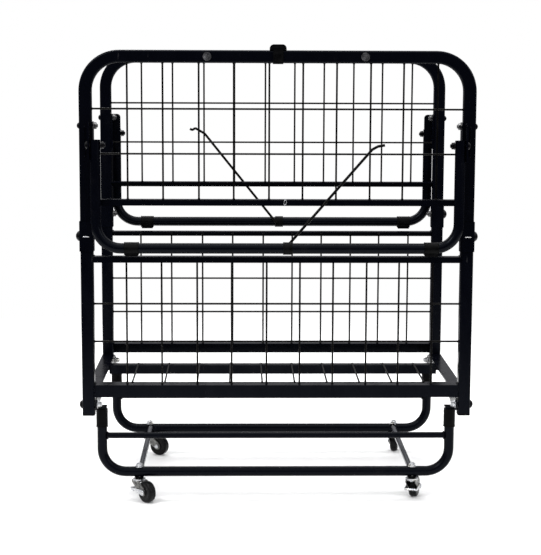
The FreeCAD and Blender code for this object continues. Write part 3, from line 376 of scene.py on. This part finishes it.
def spaced(corners, gap=2 * MM, wander_share=0.1):
    """Evenly spaced points along a line through corners, with a slight wander."""
    points = []
    for start, end in zip(corners, corners[1:]):
        start, end = Vector(start), Vector(end)
        steps = max(1, round((end - start).length / gap))
        for step in range(steps):
            wander = Vector([chance.uniform(-wander_share, wander_share) * gap for _ in range(3)])
            points.append(start.lerp(end, step / steps) + wander)
    points.append(Vector(corners[-1]))
    return points


def circle_points(place, axis, radius, count=32):
    """Points evenly round a circle about an axis."""
    first, second = side_axes(axis)
    turns = [2 * math.pi * index / count for index in range(count)]
    return [Vector(place) + (first * math.cos(turn) + second * math.sin(turn)) * radius for turn in turns]


# ---------------------------------------------------------------- weld beads

# half thickness of a bead, and the share of it that the ripple adds or takes away
BEAD = 1.5 * MM
RIPPLE = 0.16
BEAD_LIFT = 0.6 * MM
BEAD_STEPS = 22
BAR_FACE = 12 * MM
BAR_END_INSET = MM
SPACER_END_INSET = 2 * MM
CROSS_FLANGE = 24 * MM
CROSS_GAUGE = 3 * MM
HANGER_WELD_MARGIN = 8 * MM
PLATE_FROM_WING = 8.5 * MM
WIRE_RADIUS = 1.9 * MM
UPPER_SHIFT = 4 * MM
# places of the ten uprights across the bed
WIRE_PLACES = [x * MM for x in (-303, -232.5, -161, -91.5, -21, 46, 113, 180.5, 246, 314)]
# heights of a deck's four cross wires, from the top down
WIRE_HEIGHTS = {
    "front": (808.5 * MM, 719.5 * MM, 418 * MM, 341 * MM),
    "rear": (808.5 * MM, 719.5 * MM, 405 * MM, 326.5 * MM),
}
UPPER_CROSS_WIRES = 2
HANGER_CROSS_WIRE = 1
WIRE_COLLAR = in_mm([(0, 3.1), (0.6, 2.8), (1.6, 2.2), (2.4, 1.92)])


def line_bead(made, corners):
    """Weld bead along a line through corners."""
    swept(made, spaced(corners), BEAD, ripple=RIPPLE)


def ring_bead(made, place, axis, tube_radius):
    """Weld bead round a tube's end."""
    points = circle_points(place, axis, tube_radius + BEAD_LIFT, BEAD_STEPS)
    swept(made, points, BEAD, closed=True, ripple=RIPPLE)


def deck_welds(end, sign):
    """Beads at the ends of a deck's bars, up each bar's face and back along its flange."""
    made = bmesh.new()
    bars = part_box(end + "_deck_bars")
    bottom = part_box(end + "_bottom_bar")
    outer, inner = (bars[0][1], bars[1][1]) if sign < 0 else (bars[1][1], bars[0][1])
    upper_face = (bars[1][2] - BAR_FACE, bars[1][2])
    middle_face = (bars[0][2], bars[0][2] + BAR_FACE)
    bottom_face = (bottom[0][2], bottom[1][2])
    for side in SIDES:
        x = side * (bars[1][0] - BEAD / 2)
        for low, high in (upper_face, middle_face, bottom_face):
            line_bead(made, ((x, outer, low), (x, outer, high), (x, inner, high)))
    add_piece(end + "_deck_welds", made, COAT, end + "_deck")


def wire_welds(end, sign):
    """Nuggets at the wire crossings, and collars where the wires meet the bars and tubes."""
    made = bmesh.new()
    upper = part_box(end + "_mesh_upper")
    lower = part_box(end + "_mesh_lower")
    outer_y = upper[0 if sign < 0 else 1][1]
    cross_y = outer_y - sign * WIRE_RADIUS
    upright_y = cross_y - sign * 2 * WIRE_RADIUS
    upright_ends = (
        (upper[0][2], 1, UPPER_SHIFT),
        (upper[1][2], -1, UPPER_SHIFT),
        (lower[0][2], 1, 0),
        (lower[1][2], -1, 0),
    )
    for x in WIRE_PLACES:
        for index, z in enumerate(WIRE_HEIGHTS[end]):
            squeeze = chance.uniform(0.85, 1.15)
            nugget = in_mm([(-2.8, 0.6), (-1.9, 1.8 * squeeze), (0, 2.2), (1.9, 1.75 / squeeze), (2.8, 0.6)])
            middle = x + UPPER_SHIFT if index < UPPER_CROSS_WIRES else x
            turned(made, (middle, (cross_y + upright_y) / 2, z), X_AXIS, nugget, sides=10)
        for z, up, shift in upright_ends:
            turned(made, (x + shift, upright_y, z), Z_AXIS * up, WIRE_COLLAR, sides=12)
    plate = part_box(end + "_leg_hangers")[1][0] - PLATE_FROM_WING
    for side in SIDES:
        for index, z in enumerate(WIRE_HEIGHTS[end]):
            x = plate if index == HANGER_CROSS_WIRE else upper[1][0]
            turned(made, (side * x, cross_y, z), X_AXIS * -side, WIRE_COLLAR, sides=12)
    add_piece(end + "_wire_welds", made, WIRE, end + "_deck")


def base_welds():
    """Beads of the base: crossbars, spacers and the centre frame's cross rails."""
    made = bmesh.new()
    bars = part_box("base_crossbars")
    radius = (bars[1][2] - bars[0][2]) / 2
    height = (bars[1][2] + bars[0][2]) / 2
    for y in (bars[0][1] + radius, bars[1][1] - radius):
        for side in SIDES:
            ring_bead(made, (side * (bars[1][0] - BAR_END_INSET), y, height), X_AXIS, radius)
    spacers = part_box("base_spacers")
    spacer_height = (spacers[1][2] + spacers[0][2]) / 2
    for x in (spacers[0][0] + radius, spacers[1][0] - radius):
        for y in (spacers[0][1] + SPACER_END_INSET, spacers[1][1] - SPACER_END_INSET):
            ring_bead(made, (x, y, spacer_height), Y_AXIS, radius)
    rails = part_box("frame_cross_rails")
    for side in SIDES:
        x = side * (rails[1][0] - BEAD / 2)
        for sign in SIDES:
            y = sign * (abs(rails[0][1]) - CROSS_FLANGE)
            line_bead(made, ((x, y, rails[0][2]), (x, y, rails[1][2] - CROSS_GAUGE)))
    add_piece("base_welds", made, COAT, "base")


def hanger_welds(end, sign):
    """Bead beside each leg hanger's wing, on the face of the deck's tube."""
    made = bmesh.new()
    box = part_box(end + "_leg_hangers")
    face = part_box(end + "_deck_loop")[0 if sign < 0 else 1][1]
    low = box[0][2] + HANGER_WELD_MARGIN
    high = box[1][2] - HANGER_WELD_MARGIN
    for side in SIDES:
        x = side * (box[1][0] + BEAD / 2)
        line_bead(made, ((x, face, low), (x, face, high)))
    add_piece(end + "_hanger_welds", made, COAT, end + "_deck")


# ---------------------------------------------------------------- fasteners

NUT_RADIUS = 6.75 * MM
NUT_HEIGHT = 6.1 * MM
NUT_FLAT = NUT_RADIUS * math.cos(math.pi / 6)
NUT_CHAMFER = 0.9 * MM
THREAD_PITCH = 1.25 * MM
THREAD_DEPTH = 0.35 * MM
THREAD_STEPS = 8
TIP_LENGTH = 0.5 * MM
TIP_CUT = 1.2 * MM
WASHER_HOLE = 4.2 * MM
WASHER_EDGE = 0.25 * MM
# for each place: washer radius, washer gauge, bolt radius, length of thread past the nut
DECK_NUT = (8 * MM, 1.3 * MM, 4 * MM, 2.2 * MM)
LEG_NUT = (7.5 * MM, 1.0 * MM, 4 * MM, 2.2 * MM)
PIVOT_NUT = (9 * MM, 1.4 * MM, 5 * MM, 3 * MM)
STEM_WASHER = (8.5 * MM, 1.3 * MM)
STEM_RADIUS = 4 * MM
STEM_PROUD = 1.5 * MM
STEM_SINK = 0.3 * MM
SPLICE_NUT_INSET = 2 * MM
HANGER_NUT_INSET = 3 * MM
HANGER_BOLT_FROM_TOP = 8 * MM
PIVOT_HEAD_HALF = 9.8 * MM * math.cos(math.pi / 6)
BRACKET_GAUGE = 3 * MM
BASE_TUBE = 20.5 * MM


def nut_radius(along, radius, angle):
    """Six flats, cut back to a circle at the two chamfered ends."""
    sector = (angle + math.pi / 6) % (math.pi / 3) - math.pi / 6
    return min(radius, NUT_FLAT / math.cos(sector))


def hex_nut(made, place, axis):
    """Chamfered nut that starts at a place and runs along an axis."""
    edge = 0.05 * MM
    profile = [
        (-edge, NUT_FLAT),
        (NUT_CHAMFER / 2, NUT_RADIUS),
        (NUT_HEIGHT - NUT_CHAMFER, NUT_RADIUS),
        (NUT_HEIGHT, NUT_FLAT * 0.98),
        (NUT_HEIGHT + edge, NUT_FLAT * 0.7),
    ]
    turned(made, place, axis, profile, sides=48, radius_at=nut_radius)


def thread_radius(along, radius, angle):
    """Helical ridge on a bolt's end."""
    phase = (along / THREAD_PITCH + angle / (2 * math.pi)) % 1
    return radius - THREAD_DEPTH * abs(2 * phase - 1)


def thread(made, place, axis, radius, length):
    """Helical thread on a short end of a bolt, with a tapered tip."""
    count = max(2, round(length / THREAD_PITCH * THREAD_STEPS))
    profile = [(length * index / count, radius) for index in range(count + 1)]
    profile.append((length + TIP_LENGTH, radius - TIP_CUT))
    turned(made, place, axis, profile, radius_at=thread_radius)


def washer(made, place, axis, outer, gauge):
    """Flat washer with a slightly rounded rim."""
    outline = [
        (0, WASHER_HOLE),
        (0, outer - WASHER_EDGE),
        (WASHER_EDGE, outer),
        (gauge - WASHER_EDGE, outer),
        (gauge, outer - WASHER_EDGE),
        (gauge, WASHER_HOLE),
    ]
    band(made, place, axis, outline)


def nut_set(made, place, axis, washer_radius, gauge, bolt_radius, stub):
    """Washer, nut and bolt end that stand on a face."""
    place = Vector(place)
    washer(made, place, axis, washer_radius, gauge)
    hex_nut(made, place, axis)
    thread(made, place + axis * NUT_HEIGHT, axis, bolt_radius, stub)


def deck_fasteners(end):
    """Nuts, washers and bolt ends of the splices and the leg hangers."""
    made = bmesh.new()
    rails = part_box(end + "_deck_rails")
    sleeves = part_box(end + "_joint_sleeves")
    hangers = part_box(end + "_leg_hangers")
    tube_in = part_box(end + "_deck_bars")[1][0]
    y = (rails[0][1] + rails[1][1]) / 2
    splice = (tube_in - SPLICE_NUT_INSET, (sleeves[0][2] + sleeves[1][2]) / 2)
    hanger = (tube_in - HANGER_NUT_INSET, hangers[1][2] - HANGER_BOLT_FROM_TOP)
    for side in SIDES:
        for x, z in (splice, hanger):
            nut_set(made, (side * x, y, z), X_AXIS * -side, *DECK_NUT)
    add_piece(end + "_deck_fasteners", made, DECK_BOLT, end + "_deck")


def leg_fasteners(end):
    """Nuts, washers and bolt ends of the leg's two pivots."""
    made = bmesh.new()
    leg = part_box(end + "_leg_frame")
    radius = (leg[1][1] - leg[0][1]) / 2
    y = (leg[0][1] + leg[1][1]) / 2
    x = leg[1][0] - 2 * radius - MM
    for side in SIDES:
        nut_set(made, (side * x, y, leg[1][2] - radius), X_AXIS * -side, *LEG_NUT)
    add_piece(end + "_leg_fasteners", made, DARK, end + "_deck")


def base_fasteners():
    """Nuts, washers and bolt ends of the deck pivots and of the caster stems."""
    made = bmesh.new()
    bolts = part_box("pivot_bolts")
    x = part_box("pivot_brackets")[1][0] - BRACKET_GAUGE
    z = (bolts[0][2] + bolts[1][2]) / 2
    for side in SIDES:
        for y in (bolts[0][1] + PIVOT_HEAD_HALF, bolts[1][1] - PIVOT_HEAD_HALF):
            nut_set(made, (side * x, y, z), X_AXIS * -side, *PIVOT_NUT)
    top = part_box("base_frame_front")[0][2] + BASE_TUBE
    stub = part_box("caster_stems")[1][2] - top - NUT_HEIGHT + STEM_PROUD
    for name in CASTER_NAMES:
        stem = stem_place(name)
        washer(made, (stem.x, stem.y, top - STEM_SINK), Z_AXIS, *STEM_WASHER)
        hex_nut(made, (stem.x, stem.y, top), Z_AXIS)
        thread(made, (stem.x, stem.y, top + NUT_HEIGHT), Z_AXIS, STEM_RADIUS, stub)
    add_piece("base_fasteners", made, ZINC, "base")


SCREW_RINGS = 14
SCREW_SIDES = 72
SCREW_DOME = 3.4 * MM
SCREW_CURVE = 0.82
SCREW_RIM = 0.2 * MM
SCREW_OVERHANG = 0.15 * MM
RECESS_HALF = 0.11
RECESS_REACH = 0.62
RECESS_DEPTH = 1.6 * MM


def screw_height(reach, angle, is_rim):
    """Height of a screw head's dome at a share of its radius, less the cross recess."""
    height = SCREW_RIM if is_rim else SCREW_DOME * math.sqrt(max(0.0, 1 - SCREW_CURVE * reach**2))
    across = min(abs(math.cos(angle)), abs(math.sin(angle))) * reach
    in_recess = across < RECESS_HALF and reach < RECESS_REACH
    return height - (RECESS_DEPTH if in_recess else 0)


def loop_screws(end, sign):
    """Domed screw heads with a cross recess over the loop's two screws."""
    made = bmesh.new()
    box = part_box(end + "_loop_screws")
    radius = (box[1][2] - box[0][2]) / 2
    z = (box[0][2] + box[1][2]) / 2
    face = box[1][1] if sign < 0 else box[0][1]
    outward = Y_AXIS * sign
    first, second = side_axes(outward)
    for x in (box[0][0] + radius, box[1][0] - radius):
        spin = chance.uniform(0, math.pi / 2)
        rings = []
        for step in range(1, SCREW_RINGS + 1):
            reach = step / SCREW_RINGS
            ring = []
            for index in range(SCREW_SIDES):
                angle = 2 * math.pi * index / SCREW_SIDES
                height = screw_height(reach, angle + spin, step == SCREW_RINGS)
                spoke = first * math.cos(angle) + second * math.sin(angle)
                out = spoke * reach * (radius + SCREW_OVERHANG)
                ring.append(made.verts.new(Vector((x, face, z)) + out + outward * height))
            rings.append(ring)
        join_rings(made, rings, closed=False)
    add_piece(end + "_screw_heads", made, SCREW, end + "_deck")


PIN_FROM_END = 14 * MM
PIN_SINK = 0.4 * MM
PIN_PROFILE = in_mm([(-6.5, 0.3), (-6, 0.9), (-5, 1.1), (5, 1.1), (6, 0.9), (6.5, 0.3)])


def splice_streaks(end, sign):
    """Bright zinc pin lying across the outer face of each splice sleeve."""
    made = bmesh.new()
    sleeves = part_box(end + "_joint_sleeves")
    z = (sleeves[0][2] + sleeves[1][2]) / 2
    y = sleeves[0 if sign < 0 else 1][1] - sign * PIN_SINK
    for side in SIDES:
        turned(made, (side * (sleeves[1][0] - PIN_FROM_END), y, z), X_AXIS, PIN_PROFILE, sides=16)
    add_piece(end + "_splice_pins", made, ZINC, end + "_deck")


# ---------------------------------------------------------------- casters and small parts

CASTER_NAMES = ("front_left", "front_right", "rear_left", "rear_right")
JOINTS = {joint["name"]: joint for joint in frame["record"]["behaviour"]["joints"]}
RACE_HEIGHT = 43 * MM
RACE = in_mm([(-1.6, 12.0), (-1.3, 13.1), (-0.7, 13.6), (-0.1, 13.4), (0.2, 12.4), (0.2, 9.0), (-1.6, 9.0)])
RIVET_AT = 13.8 * MM
RIVET = in_mm([(-0.9, 4.6), (-0.3, 4.9), (0.5, 4.3), (1.1, 3.0), (1.4, 1.2)])
CHEEK_FACE = 11.15 * MM
RIB = 0.8 * MM
# lower end from the axle as (forward, up), upper end from the stem as (forward, height above the floor)
REAR_RIB = ((-8 * MM, 8 * MM), (-3 * MM, 38 * MM))
FRONT_RIB = ((3.5 * MM, 9 * MM), (9.5 * MM, 38.5 * MM))
WHEEL_FACE = 8.5 * MM
# radii of the rings on the wheel's face, in millimetres
HUB_RINGS = (16.2, 9.5)
TREAD_RINGS_AT = (-3.2 * MM, 3.2 * MM)
TREAD_RING = in_mm([(-0.6, 21.6), (-0.3, 22.0), (0.3, 22.0), (0.6, 21.6)])


def stem_place(name):
    """Joint place of a caster's stem."""
    return Vector(JOINTS["caster_%s_turn" % name]["pos_m"])


def caster_races(body, stem, axle, axis):
    """Pressed race round the swivel and rivet domes on the axle's ends."""
    made = bmesh.new()
    band(made, (stem.x, stem.y, RACE_HEIGHT), Z_AXIS, RACE, sides=48)
    for side in SIDES:
        turned(made, axle + axis * side * RIVET_AT, axis * side, RIVET)
    add_piece(body + "_races", made, ZINC, body + "_swivel")


def caster_ribs(body, stem, axle, axis):
    """Two pressed ribs on each cheek of a fork, from near the axle up to the swivel."""
    made = bmesh.new()
    trail = Vector((axle.x - stem.x, axle.y - stem.y, 0)).normalized()
    for side in SIDES:
        face = axis * side * CHEEK_FACE
        for (low_forward, low_up), (high_forward, high_height) in (REAR_RIB, FRONT_RIB):
            low = axle + face + trail * low_forward + Z_AXIS * low_up
            high = Vector((stem.x, stem.y, high_height)) + face + trail * high_forward
            swept(made, spaced((low, high)), RIB)
    add_piece(body + "_ribs", made, FORK, body + "_swivel")


def wheel_rings(body, axle, axis):
    """Raised rings on a wheel's two faces and two lines round its tread."""
    made = bmesh.new()
    for side in SIDES:
        out = axis * side
        for radius in HUB_RINGS:
            outline = [(-0.3, radius - 0.8), (0.3, radius - 0.4), (0.3, radius + 0.4), (-0.3, radius + 0.8)]
            band(made, axle + out * WHEEL_FACE, out, in_mm(outline), sides=48)
    for along in TREAD_RINGS_AT:
        band(made, axle + axis * along, axis, TREAD_RING, sides=64)
    add_piece(body + "_tyre_lines", made, TREAD, body + "_roller")


def caster_details(name):
    """Small parts of one caster."""
    body = "caster_" + name
    stem = stem_place(name)
    axle = Vector(JOINTS[body + "_roll"]["pos_m"])
    axis = Vector(JOINTS[body + "_roll"]["axis"]).normalized()
    caster_races(body, stem, axle, axis)
    caster_ribs(body, stem, axle, axis)
    wheel_rings(body, axle, axis)


CAP_RADIUS = 12 * MM
CAP_LIP_SINK = 0.3 * MM
# height above the cap's lower end and half thickness of each lip
CAP_LIPS = in_mm([(1.2, 1.0), (32, 0.75)])
RIDGE = 0.7 * MM
RIDGE_INSET = MM
FOOT_LENGTH = 29 * MM
FOOT_RIDGE_RADIUS = 12.3 * MM
COLLAR_RIDGE_RADIUS = 12.2 * MM
LEG_TUBE_RADIUS = 10.5 * MM


def cap_lips():
    """Rolled lips round the plastic caps on the base's tubes."""
    made = bmesh.new()
    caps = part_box("base_caps")
    for x in (caps[0][0] + CAP_RADIUS, caps[1][0] - CAP_RADIUS):
        for y in (caps[0][1] + CAP_RADIUS, caps[1][1] - CAP_RADIUS):
            for height, half_thickness in CAP_LIPS:
                points = circle_points((x, y, caps[0][2] + height), Z_AXIS, CAP_RADIUS - CAP_LIP_SINK)
                swept(made, points, half_thickness, closed=True)
    add_piece("cap_lips", made, PLASTIC, "base")


def foot_ridges(end):
    """Ridges at the ends of a leg's foot sleeves and of its rod collar."""
    made = bmesh.new()
    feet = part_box(end + "_leg_feet")
    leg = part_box(end + "_leg_frame")
    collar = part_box(end + "_rod_collar")
    y = (leg[0][1] + leg[1][1]) / 2
    z = leg[0][2] + LEG_TUBE_RADIUS
    for start in (feet[0][0], feet[1][0] - FOOT_LENGTH):
        for x in (start + RIDGE_INSET, start + FOOT_LENGTH - RIDGE_INSET):
            swept(made, circle_points((x, y, z), X_AXIS, FOOT_RIDGE_RADIUS), RIDGE, closed=True)
    for x in (collar[0][0] + RIDGE_INSET, collar[1][0] - RIDGE_INSET):
        swept(made, circle_points((x, y, z), X_AXIS, COLLAR_RIDGE_RADIUS), RIDGE, closed=True)
    add_piece(end + "_foot_ridges", made, PLASTIC, end + "_leg")


EYE_X = 15 * MM
EYE_PROUD = 1.2 * MM
EYE_BELOW_TOP = 5 * MM
EYE_WIDE = 2.6 * MM
EYE_LEAN = 0.8 * MM
EYE_TALL = 5.2 * MM
EYE_WIRE = 0.75 * MM
EYE_STEPS = 20


def rod_eye():
    """Small wire eye on the front deck's upper slim bar."""
    made = bmesh.new()
    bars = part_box("front_deck_bars")
    y = bars[0][1] - EYE_PROUD
    z = bars[1][2] - EYE_BELOW_TOP
    points = []
    for index in range(EYE_STEPS):
        turn = 2 * math.pi * index / EYE_STEPS
        across = EYE_WIDE * math.cos(turn) + EYE_LEAN * math.sin(turn)
        points.append((EYE_X + across, y, z + EYE_TALL * math.sin(turn)))
    swept(made, points, EYE_WIRE, closed=True)
    add_piece("front_rod_eye", made, ZINC, "front_deck")


# ---------------------------------------------------------------- floor, light and camera

FLOOR_REACH = 2.4
FLOOR_FADE = (1.3, 2.3)
FLOOR_SIDES = 64


def floor_material():
    """Matt white that fades out towards the floor's rim."""
    material, tree, shader, place = new_material("pale_floor", 0.0, 0.9, 0.1)
    speck = noise_field(tree, place, scale=30, detail=3)
    colour_from(tree, shader, ramp(tree, speck, ((0.3, (0.9, 0.9, 0.9)), (0.7, (0.93, 0.93, 0.93)))))
    distance = tree.nodes.new("ShaderNodeVectorMath")
    distance.operation = "LENGTH"
    tree.links.new(place, distance.inputs[0])
    shown = remap(tree, distance.outputs["Value"], 1.0, 0.0, *FLOOR_FADE)
    tree.links.new(shown, shader.inputs["Alpha"])
    return material


def add_floor():
    """Round pale floor."""
    made = bmesh.new()
    rim = circle_points((0, 0, 0), Z_AXIS, FLOOR_REACH, FLOOR_SIDES)
    made.faces.new([made.verts.new(point) for point in rim])
    mesh = bpy.data.meshes.new("floor")
    made.to_mesh(mesh)
    made.free()
    mesh.materials.append(floor_material())
    floor = bpy.data.objects.new("floor", mesh)
    bpy.context.scene.collection.objects.link(floor)


def add_area(name, place, target, size, power):
    """Soft rectangular light aimed at a point."""
    data = bpy.data.lights.new(name, "AREA")
    data.shape = "RECTANGLE"
    data.size, data.size_y = size
    data.energy = power
    light = bpy.data.objects.new(name, data)
    light.location = place
    light.rotation_euler = (Vector(target) - Vector(place)).to_track_quat("-Z", "Y").to_euler()
    bpy.context.scene.collection.objects.link(light)


SKY_STRENGTH = 1.9
# greys from straight down (0) over the horizon (0.5) to straight up (1)
SKY_STOPS = (
    (0.0, (0.1, 0.1, 0.1)),
    (0.47, (0.05, 0.05, 0.055)),
    (0.56, (0.12, 0.12, 0.13)),
    (1.0, (1, 1, 1)),
)


def studio_world():
    """White surroundings to the eye; as light, dark at the horizon and bright overhead."""
    world = bpy.data.worlds.new("studio")
    world.use_nodes = True
    tree = world.node_tree
    seen = tree.nodes["Background"]
    seen.inputs["Color"].default_value = (1, 1, 1, 1)
    place = tree.nodes.new("ShaderNodeTexCoord")
    parts = tree.nodes.new("ShaderNodeSeparateXYZ")
    tree.links.new(place.outputs["Generated"], parts.inputs["Vector"])
    shade = ramp(tree, remap(tree, parts.outputs["Z"], 0.0, 1.0, start=-1.0, stop=1.0), SKY_STOPS)
    light = tree.nodes.new("ShaderNodeBackground")
    light.inputs["Strength"].default_value = SKY_STRENGTH
    tree.links.new(shade, light.inputs["Color"])
    path = tree.nodes.new("ShaderNodeLightPath")
    mix = tree.nodes.new("ShaderNodeMixShader")
    tree.links.new(path.outputs["Is Camera Ray"], mix.inputs["Fac"])
    tree.links.new(light.outputs["Background"], mix.inputs[1])
    tree.links.new(seen.outputs["Background"], mix.inputs[2])
    tree.links.new(mix.outputs["Shader"], tree.nodes["World Output"].inputs["Surface"])
    bpy.context.scene.world = world


def add_light():
    """Studio world and four soft lights, each with its place, aim, size and power."""
    studio_world()
    add_area("key", (-1.7, -2.2, 2.6), (0, 0, 0.4), (1.4, 0.7), 38)
    add_area("fill", (2.4, -1.4, 1.6), (0, 0, 0.5), (0.5, 1.6), 14)
    add_area("back", (-1.2, 2.4, 2.4), (0, 0, 0.5), (1.6, 0.5), 26)
    add_area("over", (0, 0.2, 3.0), (0, 0, 0), (1.6, 1.6), 36)


CAMERA_PLACE = (-0.0765, -3.3238, 0.8962)
CAMERA_PITCH = 7.83
CAMERA_YAW = 1.17
CAMERA_ROLL = 0.21
SENSOR_WIDTH = 36
# focal length as a share of the picture's longer side
FOCAL_SHARE = 1549 / 555


def add_camera():
    """Camera in front of the bed, slightly left of its middle and looking a little down."""
    data = bpy.data.cameras.new("camera")
    data.sensor_width = SENSOR_WIDTH
    data.lens = SENSOR_WIDTH * FOCAL_SHARE
    camera = bpy.data.objects.new("camera", data)
    turn = Matrix.Rotation(math.radians(-CAMERA_YAW), 4, "Z")
    tip = Matrix.Rotation(math.radians(90 - CAMERA_PITCH), 4, "X")
    roll = Matrix.Rotation(math.radians(CAMERA_ROLL), 4, "Z")
    camera.matrix_world = Matrix.Translation(CAMERA_PLACE) @ turn @ tip @ roll
    bpy.context.scene.collection.objects.link(camera)
    bpy.context.scene.camera = camera


dress_nodes()
for end, sign in ENDS:
    deck_welds(end, sign)
    wire_welds(end, sign)
    hanger_welds(end, sign)
    deck_fasteners(end)
    leg_fasteners(end)
    loop_screws(end, sign)
    splice_streaks(end, sign)
base_welds()
base_fasteners()
for caster_name in CASTER_NAMES:
    caster_details(caster_name)
cap_lips()
for end, _ in ENDS:
    foot_ridges(end)
rod_eye()

add_floor()
add_light()
add_camera()
bpy.context.scene.view_settings.view_transform = "Standard"
